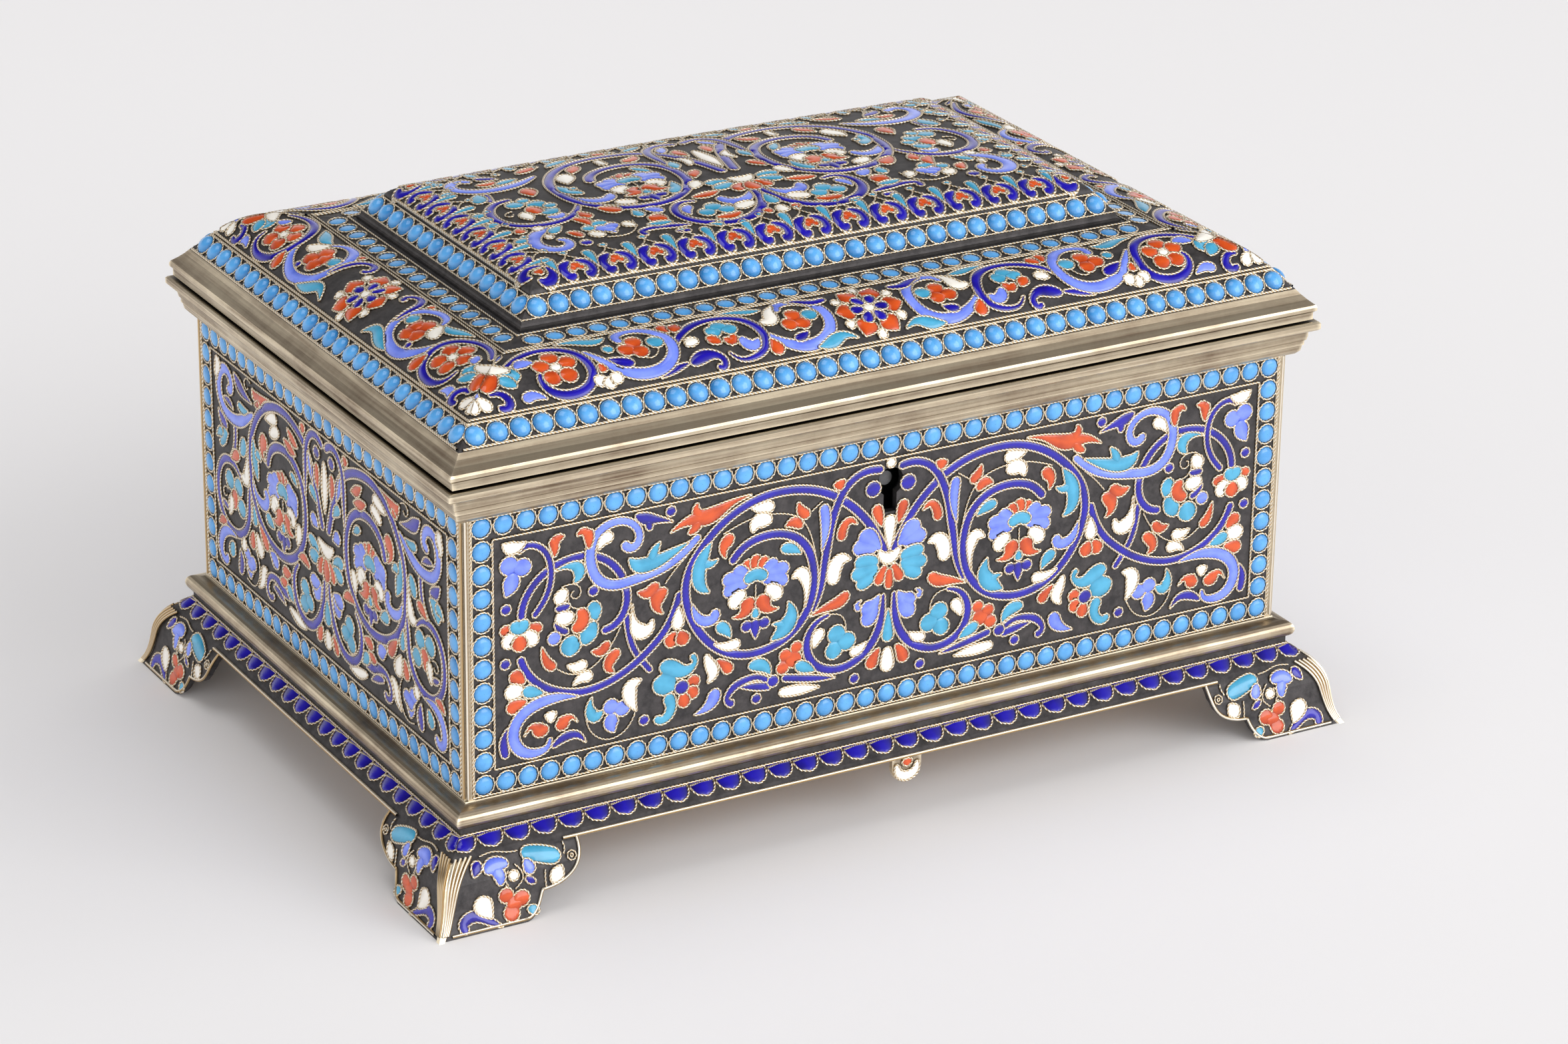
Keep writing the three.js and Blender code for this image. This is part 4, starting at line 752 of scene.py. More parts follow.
# Lower left corner: a blue hook round a white and orange bud, and a wire ring round a trefoil
wall.cell("cobalt", [(-67.8, 29), (-68.5, 26.8), (-68.1, 23.9)], (0.12, 0.65, 0.6))
wall.cell("periwinkle", [(-55.5, 31.7), (-59, 32.3), (-62, 32.1), (-64.8, 31), (-66.5, 29),
        (-66.7, 26.5), (-65.3, 24.4), (-62.9, 23.7), (-60.9, 24.4), (-60.5, 25.8)],
        (0.12, 0.8, 0.95, 0.95, 0.8, 0.3))
wall.cell("cobalt", [(-60.2, 24), (-57.9, 25.3), (-56, 25.3), (-54.3, 23.6)], (0.3, 0.75, 0.6, 0.1))
wall.cell("white", [(-60.3, 28.3), (-60.4, 30.2)], (0.3, 1.35))
wall.cell("orange", [(-60.8, 27.7), (-62.2, 27.4), (-63.6, 28.3), (-65, 26.9)],
        (0.5, 1.15, 0.5, 0.1))
wall.cell("orange", [(-59.6, 27.6), (-58.5, 27.7), (-57.1, 28.5), (-55.7, 27.4)],
        (0.5, 1.15, 0.5, 0.1))
wall.wire([(-53.2, 31), (-54.2, 28.2), (-53.2, 24.9), (-50.2, 23.2), (-47.2, 24.3), (-45.5, 27)])
wall.cell("turquoise", [(-53.2, 31.1), (-53.6, 29.2), (-52.7, 27.6), (-51.2, 28.4)],
        (0.1, 0.7, 1, 0.12))
wall.joined("periwinkle", ((-49.9, 28.7), 1.25), ((-47.9, 28), 1.25),
        ([(-49.3, 27.4), (-49.9, 26), (-49.3, 24.2)], (0.8, 1.2, 0.15)))
wall.cell("white", [(-44.5, 32.2), (-46.4, 31.4), (-46.5, 29.4), (-45.4, 27)], (0.12, 1.05, 1, 0.1))

# The turquoise acanthus, with its cobalt eye and three orange petals
wall.petals("orange", (-37.4, 29.2), [(-34.2, 30.2), (-34.5, 27.4), (-36.8, 25.7)], 0.4, 1.05)
wall.joined("turquoise", ([(-42.5, 31.2), (-41, 30.6), (-39.2, 29.8), (-38.6, 29.2)],
        (1.2, 1.6, 1.45, 1.1)), ([(-40.1, 28.6), (-39.3, 26.7), (-39.9, 24.9), (-41.2, 24.4),
        (-42.1, 25.2)], (1.1, 0.9, 0.8, 0.7, 0.7)), ([(-41.4, 33.6), (-39.6, 33.2), (-37.8, 32.2),
        (-36, 32.2), (-35, 33.4), (-35.8, 34.5)], (0.9, 1.3, 1.15, 0.75, 0.45, 0.7)))
wall.dot("cobalt", (-37.4, 29.3), 1.15)

# Under the lotus wheel
wall.cell("periwinkle", [(-31.6, 27.8), (-31.6, 26.4), (-33.1, 24.7), (-35.2, 24)],
        (0.9, 1.1, 0.7, 0.1))
wall.cell("white", [(-33.1, 34), (-32.4, 32.2), (-31.8, 30.6), (-32.8, 29)], (0.3, 0.85, 0.9, 0.12))
wall.cell("orange", [(-31.2, 32.7), (-29.6, 31.3), (-28.6, 30)], (0.2, 0.85, 1.1))
wall.cell("turquoise", [(-25.5, 30.2), (-23.6, 30.2), (-22.4, 29.5), (-21.5, 28)],
        (0.6, 1.05, 0.9, 0.12))
wall.cell("cobalt", [(-28, 24.3), (-29.3, 25.2), (-28.5, 26.9), (-26.2, 28), (-23.8, 28.1),
        (-21.8, 27)], (0.85, 0.5, 0.6, 0.6, 0.5, 0.5))
wall.cell("cobalt", [(-27, 27), (-24, 26.5), (-21.3, 25.9)], (0.12, 0.65, 0.5))
wall.dot("cobalt", (-21, 26.8), 0.95)
wall.joined("orange", ((-19.3, 28.7), 1.05), ((-18.8, 30.8), 1.05), ((-16.8, 31.8), 1),
        ((-17.3, 29.8), 1.35))
wall.cell("turquoise", [(-17, 28.8), (-15.3, 28), (-13.3, 26.9)], (0.7, 0.95, 0.12))
wall.cell("white", [(-19.9, 24.5), (-16.8, 24.3), (-12.4, 24)], (0.6, 0.85, 0.1))

# Inside the lower wheel and beside the middle
wall.joined("turquoise", ((-9.5, 32.5), 1.5), ((-7.6, 30.9), 1.5),
        ([(-9.4, 31.2), (-10, 29.3), (-10, 28.2)], (1.1, 1.45, 1.2)))
wall.cell("white", [(-13.6, 31), (-13, 32.7), (-11.9, 33.8)], (0.2, 0.9, 0.7))
wall.cell("white", [(-7, 28.7), (-5.5, 28.9), (-3.9, 30)], (0.6, 0.75, 0.1))
wall.joined("periwinkle", ([(-1.7, 37.8), (-2.8, 36.2), (-5.1, 35.6)], (0.12, 1.1, 1.2)),
        ([(-2.4, 36.4), (-3.4, 34.4), (-4.7, 33)], (0.8, 1.35, 1.1)),
        ([(-5.3, 35.8), (-5.9, 36.8), (-5, 37.4)], (0.6, 0.4, 0.12)))
wall.joined("periwinkle", ([(-1.6, 45.6), (-3.8, 47.8), (-5.4, 49.2)], (0.3, 1.5, 1.3)),
        ([(-2.2, 45.8), (-4.7, 46.5), (-6.8, 46.5)], (0.6, 1.3, 1.05)))
wall.cell("orange", [(-14.4, 36.6), (-11, 37.6), (-8.8, 38.2), (-7.5, 39.5)], (0.1, 0.75, 1, 0.7))
wall.cell("orange", [(-8.8, 48.5), (-8.7, 50.2), (-7.5, 51.7), (-6, 50.8)], (0.85, 0.8, 0.6, 0.12))
wall.cell("periwinkle", [(-12.2, 55.4), (-11.8, 52.4), (-12.4, 47.4)], (0.8, 0.85, 0.12))
wall.wire([(-12.4, 56), (-14.4, 54.6)])
wall.cell("white", [(-7.1, 45), (-8.9, 45.3), (-10.2, 43.4), (-10, 41.3)], (0.12, 1, 1.15, 1))
wall.cell("orange", [(-9.1, 57.2), (-9.5, 59)], (0.5, 1.4))
wall.joined("turquoise", ([(-2, 43.4), (-4.2, 44), (-6.4, 44)], (0.8, 1.1, 0.95)),
        ([(-2, 42.6), (-4.6, 42.2), (-7, 42)], (0.8, 1.2, 1.05)),
        ([(-2.2, 42), (-4.2, 40.7), (-6, 39.9)], (0.8, 1.15, 1)))

# Inside the lotus wheel
wall.cell("orange", [(-14.7, 54), (-16, 54.8), (-16.8, 56.7)], (0.75, 0.85, 0.12))
wall.cell("orange", [(-16.1, 52.2), (-17.4, 53.4), (-19.1, 53)], (0.4, 0.9, 0.12))
wall.wire([(-13.6, 47.5), (-14.6, 51), (-16.4, 53.8), (-20.3, 55.4), (-25, 55.5), (-30.2, 53.9)])
wall.cell("white", [(-25.2, 57.3), (-22.8, 56.9), (-21.1, 57)], (0.12, 0.95, 0.85))
wall.cell("white", [(-24.9, 53.1), (-24.4, 54.5), (-22.9, 54.9), (-21.6, 54.3)],
        (0.2, 1, 1.15, 0.7))
wall.cell("orange", [(-29.7, 49.7), (-30.1, 51.4), (-29.1, 52.8), (-28.2, 53.1)],
        (0.15, 0.75, 1, 0.7))
wall.joined("turquoise", ([(-32.2, 53), (-33.7, 50.7), (-34.5, 47.9), (-33.9, 45.6), (-32.5, 44.5)],
        (0.1, 1, 1.15, 0.85, 0.12)), ([(-33.6, 49.6), (-32.3, 49.3), (-31, 49.9)],
        (0.8, 0.6, 0.12)))
wall.cell("periwinkle", [(-35.6, 43.2), (-34.7, 40.8), (-33, 39.7), (-31.6, 40.2), (-31.9, 41.4)],
        (0.1, 0.7, 0.9, 0.9, 0.9))
wall.cell("turquoise", [(-31.4, 38.5), (-30.2, 38), (-28.7, 35.9)], (0.8, 1, 0.1))
wall.cell("white", [(-31.8, 35.5), (-29.2, 34.6), (-27, 34.8)], (0.12, 0.7, 0.9))
wall.joined("turquoise", ([(-21.5, 34), (-19.3, 35.3), (-17.8, 37.6), (-18.4, 40.1)],
        (0.15, 1.25, 1.1, 0.12)), ([(-19, 36), (-20.2, 36.5), (-21.3, 36.7)], (0.9, 0.5, 0.12)))
wall.cell("white", [(-17.8, 43.9), (-16.1, 44.5), (-15.1, 42.3), (-15.4, 38.4)],
        (0.12, 0.95, 0.65, 0.1))
wall.cell("turquoise", [(-19.9, 49.4), (-18.2, 49.1), (-16.1, 47.8)], (0.65, 0.9, 0.12))
lotus(wall, -24.3, 44.8)

# The middle: flames by the keyhole, the long white stem, the crescent, trefoil and drops
wall.cell("orange", [(-1.5, 49.5), (-2.1, 51.5), (-2.7, 53.4)], (0.2, 0.85, 0.9))
wall.dot("cobalt", (-3.2, 56.2), 1.25)
wall.cell("orange", [(-1.5, 28.4), (-2.7, 26.6), (-3.2, 25)], (0.3, 1, 1.25))
wall.joined("orange", ([(-0.6, 42.6), (-1.6, 40.8), (-2.3, 39.5)], (0.5, 0.85, 0.85)),
        ([(0, 42), (0, 40), (0, 38.4)], (0.5, 0.75, 0.7)))
wall.cell("white", [(0, 45.4), (0, 48.4), (0, 51.2)], (0.25, 0.85, 1.2), once=True)
wall.cell("white", [(-2, 45.2), (0, 43.7), (2, 45.2)], (0.3, 0.95, 0.3), once=True)
wall.cell("turquoise", [(0, 35), (0, 32), (0, 29.2)], (0.15, 0.8, 1.15), once=True)
wall.cell("white", [(0, 28.3), (0, 26), (0, 24)], (0.6, 1.1, 1.3), once=True)
wall.dot("white", (0, 60.1), 0.75, once=True)

HALF_DEPTH = -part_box("front_panel")[0].y / MM
HALF_LENGTH = -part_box("left_panel")[0].x / MM
# Of each side: the ways across and out as seen from outside, half its length, and how far out it is
SIDES = {"front": ((1, 0), (0, -1), HALF_LENGTH, HALF_DEPTH),
        "right": ((0, 1), (1, 0), HALF_DEPTH, HALF_LENGTH),
        "back": ((-1, 0), (0, 1), HALF_LENGTH, HALF_DEPTH),
        "left": ((0, -1), (-1, 0), HALF_DEPTH, HALF_LENGTH)}


def upright(side):
    """Places a point of a drawing, across, up and proud, on one wall seen from outside."""
    across, out, _, face = (np.array(value, float) for value in SIDES[side])

    def place(u, v, h):
        flat = u[..., None] * across + (face + h)[..., None] * out
        return np.concatenate((flat, (v + 0 * h)[..., None]), axis=-1)

    return place


FRAME_STEPS, EDGE_STEPS = 60, 40


def frame_wires(wires, place, wide, low, high):
    """Straight wires round a rectangle, with square corners."""
    corners = ((-wide, low), (wide, low), (wide, high), (-wide, high), (-wide, low))
    for a, b in zip(corners, corners[1:]):
        straight_wire(wires, a, b, place, FRAME_STEPS)


# The border of every wall: round sky blue beads between straight wires, with a plain wire at each
# upright edge. The beads are poured a little proud and ground smooth.
BEAD_LOW, BEAD_HIGH, BEAD_INSET = 20.1, 63.2, 3.1
WALL_BEAD, WALL_BEAD_HEIGHT = 1.76, 0.5
BORDER_INSET, BORDER_LOW, BORDER_HIGH = 4.95, 22.4, 60.9
EDGE_INSET, EDGE_LOW, EDGE_HIGH = 1.2, 18.35, 64.75
EDGE_BEAD, EDGE_BEAD_RADIUS = 0.4, 0.26
LONG_BEADS, SHORT_BEADS, UPRIGHT_BEADS = 39, 26, 12


def wall_plate(drawing, side, beads_along):
    """One wall: its drawing, its frame wires and its border of beads."""
    fill, wires = Heap(), Heap()
    place, half = upright(side), SIDES[side][2]
    frame_wires(wires, place, half - BORDER_INSET, BORDER_LOW, BORDER_HIGH)
    frame_wires(wires, place, half - EDGE_INSET, EDGE_LOW, EDGE_HIGH)
    for u in (EDGE_BEAD - half, half - EDGE_BEAD):
        straight_wire(wires, (u, EDGE_LOW), (u, EDGE_HIGH), place, EDGE_STEPS,
                radius=EDGE_BEAD_RADIUS, twisted=False)
    fire(fill, wires, drawing, place)
    wide = half - BEAD_INSET
    for u in np.linspace(-wide, wide, beads_along):
        for v in (BEAD_LOW, BEAD_HIGH):
            bead(fill, wires, u, v, WALL_BEAD, WALL_BEAD_HEIGHT, place)
    for v in np.linspace(BEAD_LOW, BEAD_HIGH, UPRIGHT_BEADS)[1:-1]:
        for u in (-wide, wide):
            bead(fill, wires, u, v, WALL_BEAD, WALL_BEAD_HEIGHT, place)
    finish_plate(f"{side}_wall", "root", fill, wires)


for side in ("front", "back"):
    wall_plate(wall, side, LONG_BEADS)

# The side walls: enamelled plates like the front one, with two lotus wheels beside a long white
# stem and a smaller flower wheel at each end.
end_wall = Drawing(fullness=1.25)
end_wall.cell("cobalt", [(35.2, 51.6), (35.2, 48), (36, 45.4), (37.6, 43.4)], [0.5])
end_wall.cell("cobalt", [(29.4, 43.5), (30.2, 39), (30.6, 35.5), (32, 32.8), (34.4, 31.1),
        (37, 30.6), (39.8, 31.2), (42, 33.2), (43.1, 36.4), (42.6, 39.8), (40.8, 42.2), (38, 43.2),
        (35, 42.6), (33.2, 41.2)], (0.2, 0.65, 0.65, 0.65, 0.65, 0.6, 0.3))
end_wall.cell("periwinkle", [(27.6, 54.9), (31, 52.8), (34, 51.5), (37, 51.2), (39.8, 52),
        (41.4, 54.2), (41.3, 57), (39.8, 58.8), (37.8, 58.9), (36.5, 57.5), (36.8, 56), (38.2, 56)],
        (0.3, 0.85, 0.85, 0.85, 0.85, 0.75, 0.75))
end_wall.cell("cobalt", [(1, 44.4), (2.6, 48.8), (4.4, 53), (6.4, 56), (9.2, 57.9), (13, 59.2),
        (17, 59.5), (21, 58.6), (24.5, 56.6), (27.2, 53.6), (28.9, 50.2), (29.4, 46.6),
        (29.2, 42.6), (28, 39.2), (25.5, 36.2), (22, 34.3), (18, 33.6), (14, 34.4), (10.9, 36.5),
        (8.7, 39.5), (7.8, 43), (8, 47), (9.6, 50.3), (12.2, 52.2), (15.6, 52.9), (19, 52.2),
        (21.4, 50.3), (22.4, 47.6)], [0.68])
end_wall.cell("cobalt", [(0.4, 58.8), (2.6, 60), (4.7, 59.7), (6.3, 58.1), (7.1, 55.4), (7.3, 52),
        (7.5, 48)], (0.6, 0.6, 0.6, 0.2))
end_wall.cell("cobalt", [(0.8, 36), (1.2, 32.6), (2.3, 29.5), (4.2, 27), (6.7, 25.5), (9.4, 25.6),
        (11.8, 27.3), (12.9, 30.1), (12.4, 33), (10.8, 34.8)], (0.4, 0.7, 0.7, 0.65, 0.3))
end_wall.cell("cobalt", [(14.6, 26.7), (17, 27.5), (20, 28.4), (22.5, 28), (23.7, 26.4),
        (23.4, 24.7), (22.1, 24.3), (21.5, 25.3)], (0.12, 0.85, 0.6, 0.5, 0.5, 0.5))
end_wall.cell("cobalt", [(16.4, 25.2), (18.7, 26.3), (21.2, 26.9)], (0.1, 0.6, 0.3))
end_wall.wire([(28.4, 60), (30, 60.4), (31, 59.3), (30, 58.4), (29.3, 59.1)])
end_wall.cell("periwinkle", [(4.5, 51.4), (5.6, 53.8), (6.1, 56.4)], (0.1, 0.6, 0.12))
end_wall.cell("orange", [(8.2, 60.4), (7.9, 58.6)], (1.0, 0.6))
end_wall.cell("orange", [(20.6, 59.7), (24, 58.8), (26.1, 58.1), (27.8, 59.4)],
        (0.1, 0.6, 1.1, 0.1))
end_wall.cell("orange", [(25.2, 57.9), (26.1, 57.1), (27.1, 57)], (0.6, 0.5, 0.12))
end_wall.cell("cobalt", [(28, 56.6), (31, 57.2), (33.5, 58.3), (35.2, 59.7)],
        (0.1, 0.65, 0.95, 0.15))
end_wall.cell("turquoise", [(29.7, 54.7), (32, 54.2), (33.9, 54.7)], (0.1, 0.7, 0.6))
end_wall.cell("cobalt", [(35.7, 52.9), (37.3, 53.7), (39.6, 53.9)], (0.1, 0.55, 0.12))
end_wall.cell("white", [(42.6, 60), (41.8, 59), (42.4, 57.4), (42, 56.1)], (0.6, 0.9, 0.6, 0.12))
end_wall.cell("cobalt", [(38.4, 48.9), (40, 49.3), (42, 51.1)], (0.5, 0.9, 0.12))
end_wall.cell("turquoise", [(38.2, 47.8), (40.2, 46.8), (41.3, 44.6)], (0.12, 1.2, 0.4))
end_wall.cell("turquoise", [(40.3, 47.2), (41.8, 46.9), (43, 45.8)], (0.9, 0.7, 0.12))
end_wall.cell("orange", [(33.7, 45.5), (35.3, 44.9), (37.3, 43.7)], (0.5, 0.9, 0.15))
end_wall.cell("turquoise", [(31.5, 49.3), (32.2, 47.5), (33.2, 45.8)], (0.6, 1.1, 0.6))
end_wall.cell("white", [(30.4, 46.9), (30.9, 44), (31.8, 41.9), (33.4, 42.2)],
        (0.1, 0.75, 1.05, 0.12))
end_wall.dot("turquoise", (34.6, 39.4), 1.45)
end_wall.dot("turquoise", (38.1, 39.6), 1.5)
end_wall.dot("turquoise", (33.4, 36), 1.4)
end_wall.cell("orange", [(35, 37.9), (36.4, 36.8), (36.2, 34.8)], (0.7, 1.2, 0.7))
end_wall.cell("white", [(37.7, 36.9), (37.9, 35), (38.5, 33.2)], (0.7, 0.8, 0.12))
end_wall.wire([(38.8, 37.5), (40.1, 37.7), (41, 36.7), (40.1, 35.9), (39.4, 36.6)])
end_wall.cell("cobalt", [(38.9, 34.2), (40.5, 34.6), (41.4, 35)], (0.4, 0.45, 0.12))
end_wall.cell("periwinkle", [(36, 29.9), (39, 29.9), (41.6, 28.7), (42.8, 26.4), (42.2, 24.4),
        (40.7, 24), (40, 25.4)], (0.12, 0.6, 0.85, 0.9, 0.75, 0.6))
end_wall.cell("turquoise", [(37, 28.5), (38, 27), (38.1, 25.6)], (0.3, 1.05, 0.8))
end_wall.cell("orange", [(39.8, 31.3), (41.8, 31), (43.2, 30.1)], (0.2, 0.75, 0.15))
end_wall.cell("cobalt", [(34.6, 28.4), (34.2, 26), (34.9, 23.8)], (0.12, 0.9, 0.5))
end_wall.wire([(28.6, 31), (27, 28.6), (27.3, 25.6), (29.4, 23.6), (32.2, 24)])
end_wall.cell("periwinkle", [(30.4, 28), (30.8, 26), (30.6, 24.4)], (0.9, 1.1, 0.15))
end_wall.joined("periwinkle", ((29.5, 27.6), 1.1), ((31.7, 28.6), 1.1), ((30.6, 27), 1.1))
end_wall.cell("white", [(32.8, 31.1), (33, 29.8), (33.5, 28.7)], (0.2, 0.85, 0.6))
end_wall.cell("white", [(23.8, 28.7), (25, 28), (25.7, 26), (27.4, 24.2)], (0.15, 0.75, 0.75, 0.12))
end_wall.cell("orange", [(22.3, 52), (23.6, 51.4), (24.5, 49.6), (23.2, 48)], (0.8, 1.3, 0.7, 0.12))
end_wall.cell("turquoise", [(28, 50.9), (27.7, 48), (27.2, 45.6), (26.3, 43.6)],
        (0.1, 0.9, 1.0, 0.15))
end_wall.cell("turquoise", [(27.2, 48), (25.9, 48.2), (25, 47.4)], (0.8, 0.7, 0.15))
end_wall.cell("periwinkle", [(28.5, 43.4), (27.4, 41), (25.4, 40), (23.5, 40.4), (22.8, 41.9),
        (24, 42.8)], (0.12, 0.6, 0.8, 0.85, 0.8, 0.6))
end_wall.cell("turquoise", [(20, 37.4), (21.8, 38.1), (23.5, 38.7)], (0.15, 0.9, 0.8))
end_wall.cell("turquoise", [(28.6, 38.8), (28.2, 36.6), (28, 34.9)], (0.12, 0.8, 0.9))
end_wall.cell("orange", [(26.4, 36), (24.6, 34.1), (22.9, 32.4)], (0.15, 0.95, 1.0))
end_wall.cell("orange", [(28.7, 33.8), (29.3, 32), (29.4, 30.3)], (0.2, 1.0, 0.9))
end_wall.cell("white", [(27.6, 33.9), (26.6, 31.7), (25.8, 30)], (0.15, 1.15, 1.25))
end_wall.cell("orange", [(10, 55.3), (12, 55.9), (14.1, 57.4)], (0.12, 0.8, 0.12))
end_wall.cell("orange", [(10.9, 53.7), (13, 54), (15.6, 55)], (0.12, 0.8, 0.2))
end_wall.cell("white", [(18.2, 57.3), (20.3, 56.7), (22.9, 55.9)], (0.7, 0.85, 0.12))
end_wall.cell("white", [(17.4, 55.3), (19.3, 54.7), (21.1, 53.7)], (0.5, 0.9, 0.5))
end_wall.cell("turquoise", [(3, 48.2), (4.3, 49.6), (5.9, 50.4)], (0.12, 0.8, 0.7))
end_wall.cell("periwinkle", [(2.8, 44), (4.2, 44.9), (5.7, 45.2)], (0.12, 1.0, 0.7))
end_wall.cell("turquoise", [(10.5, 48.3), (12, 49.3), (13.4, 49.8)], (0.12, 0.65, 0.3))
end_wall.cell("white", [(10.1, 41.8), (10.6, 40), (11, 37.9)], (0.6, 0.95, 0.12))
end_wall.cell("periwinkle", [(19.2, 30.6), (20.4, 31.7), (22.4, 32.5)], (0.9, 1.1, 0.15))
end_wall.cell("orange", [(13.9, 31.6), (15.7, 31.3), (17.4, 31)], (0.15, 0.9, 0.7))
end_wall.cell("orange", [(15.5, 29.8), (17.1, 29.1), (18.6, 29.1)], (0.12, 0.8, 0.15))
end_wall.cell("turquoise", [(13.2, 26.8), (14.4, 28.1), (15.8, 29)], (0.12, 0.95, 0.5))
end_wall.cell("white", [(8.3, 24.1), (11.5, 24.4), (14.9, 25.4)], (0.1, 0.75, 0.3))
end_wall.joined("turquoise", ((8.5, 31.4), 1.4), ((6.8, 29.4), 1.3), ((9, 28.4), 1.4))
end_wall.cell("periwinkle", [(2, 34.2), (3.7, 32.8), (4.4, 31)], (0.12, 1.3, 0.9))
end_wall.cell("periwinkle", [(2.4, 34.7), (4.4, 34.1), (6.4, 34.1)], (0.12, 1.1, 0.7))
end_wall.cell("orange", [(6.4, 35.6), (8.5, 36.5), (10.9, 36)], (0.3, 0.8, 0.12))
end_wall.cell("turquoise", [(2.6, 39.9), (4.6, 40.7), (6.7, 41.4)], (0.5, 1.0, 0.6))
end_wall.cell("turquoise", [(2.6, 39.2), (4.5, 38.6), (6.5, 38.4)], (0.5, 1.05, 0.7))
lotus(end_wall, 16.6, 44.4)
end_wall.cell("orange", [(1.1, 39.6), (2.3, 37.7), (2.9, 36.3)], (0.4, 0.95, 0.7))
end_wall.cell("orange", [(0, 40), (0, 37.6), (0, 35.6)], (0.4, 1.2, 0.8), once=True)
end_wall.cell("white", [(-2.9, 42.4), (0, 41), (2.9, 42.4)], (0.2, 1.05, 0.2), once=True)
end_wall.cell("white", [(0, 47.6), (0, 52), (0, 56.6)], (0.12, 0.95, 0.3), once=True)
end_wall.cell("orange", [(2.4, 50.8), (2.9, 53), (2.8, 55.4)], (0.12, 0.85, 0.5))
end_wall.dot("cobalt", (2.8, 57.2), 0.95)
end_wall.cell("turquoise", [(0, 32.8), (0, 30.6), (0, 28)], (0.15, 1.0, 1.2), once=True)
end_wall.cell("orange", [(2, 27.2), (3.1, 25.4), (3.8, 24.1)], (0.2, 0.9, 0.6))
end_wall.cell("white", [(0, 27.2), (0, 25.6), (0, 23.9)], (0.5, 1.1, 1.1), once=True)

for side in ("left", "right"):
    wall_plate(end_wall, side, SHORT_BEADS)


# The lid's slopes, which run from the moulding up to the tray: a course of domed beads, the convex
# scroll band with a rosette in the middle of each side, and a ledge of flat ovals.
BEZIER_STEPS = 17


def bezier(*points):
    """Points along a Bezier curve."""
    share = np.linspace(0, 1, BEZIER_STEPS)[:, None]
    rows = [np.array(point) + 0 * share for point in points]
    while len(rows) > 1:
        rows = [a + share * (b - a) for a, b in zip(rows, rows[1:])]
    return rows[0]


def profile_of(first, *others):
    """A moulding's profile: Bezier curves end to end, each given by its points."""
    return np.concatenate((bezier(*first), *(bezier(*points)[1:] for points in others)))


def sloping(side, profile, start=0.0):
    """Places a drawing on a moulding of a side. Its second number runs up the profile, given as
    overhang and height, and its first is held within the mitres at the corners."""
    across, out, half, face = (np.array(value, float) for value in SIDES[side])
    run = run_along(profile) + start
    heading = np.gradient(profile, run, axis=0)
    heading /= np.linalg.norm(heading, axis=1)[:, None]

    def place(u, v, h):
        v = v + 0 * h
        hang = np.interp(v, run, profile[:, 0]) + h * np.interp(v, run, heading[:, 1])
        z = np.interp(v, run, profile[:, 1]) - h * np.interp(v, run, heading[:, 0])
        held = np.clip(u + 0 * h, -half - hang, half + hang)
        flat = held[..., None] * across + (face + hang)[..., None] * out
        return np.concatenate((flat, z[..., None]), axis=-1)

    return place


def rosette(art, y):
    """A six-petalled flower in the middle of a drawing."""
    heart = np.array((0.0, y))
    ways = [np.array((np.cos(k * np.pi / 3), np.sin(k * np.pi / 3))) for k in range(6)]
    for k, way in enumerate(ways):
        between = np.array((np.cos((k + 0.5) * np.pi / 3), np.sin((k + 0.5) * np.pi / 3)))
        art.cell("white", [heart + 4.4 * between, heart + 6.1 * between], (0.35, 0.9), once=True)
        art.cell("orange", [heart + 2.4 * way, heart + 4.1 * way, heart + 6 * way],
                (0.8, 1.5, 0.12), once=True)
    for way in ways:
        art.cell("cobalt", [heart + 0.9 * way, heart + 2.2 * way, heart + 3.4 * way],
                (0.3, 0.8, 0.6), once=True)
    art.dot("white", heart, 0.8, once=True)


def flower(art, x, y, reach, size):
    """Five round orange petals about a white heart."""
    for k in range(5):
        turn = 2 * np.pi * (k + 0.25) / 5
        art.dot("orange", (x + reach * np.cos(turn), y + reach * np.sin(turn)), size)
    art.dot("white", (x, y), 0.75)


def mitre_palmette(art, half):
    """Half of the palmette that folds over a mitre: stem, crescent, heart, wing and white petals."""
    def out(points):
        return [(x - half, y) for x, y in points]

    art.cell("periwinkle", out([(13.2, 17.6), (10.9, 15.8), (9.8, 14.2)]), (0.9, 0.9, 0.2))
    art.cell("cobalt", out([(7.1, 8.1), (8.3, 8.3), (9.7, 7.4), (9.9, 6), (8.9, 5.4), (8, 6.1)]),
            (0.3, 0.45, 0.6, 0.7, 0.6, 0.4))
    art.cell("turquoise", out([(9.9, 12), (11.8, 11.3), (13.7, 10.7)]), (0.9, 1.5, 0.8))
    art.cell("turquoise", out([(9.9, 11), (11.4, 9.6), (12.2, 8.7)]), (0.9, 0.9, 0.3))
    art.cell("orange", out([(10, 12), (7.9, 10.4), (6.9, 8.6)]), (0.5, 1.35, 0.8))
    art.cell("white", out([(12.6, 12.3), (10.6, 12.9), (8.5, 14.2)]), (0.3, 1.0, 1.0))
    art.cell("periwinkle", out([(5.6, 8.3), (4, 8.9)]), (0.7, 0.8))
    art.cell("white", out([(5.2, 8), (6, 6.6), (6.6, 5.6)]), (0.3, 0.8, 0.7))
    art.cell("white", out([(4.4, 8), (4, 6.6), (3.4, 5.6)]), (0.3, 0.8, 0.7))


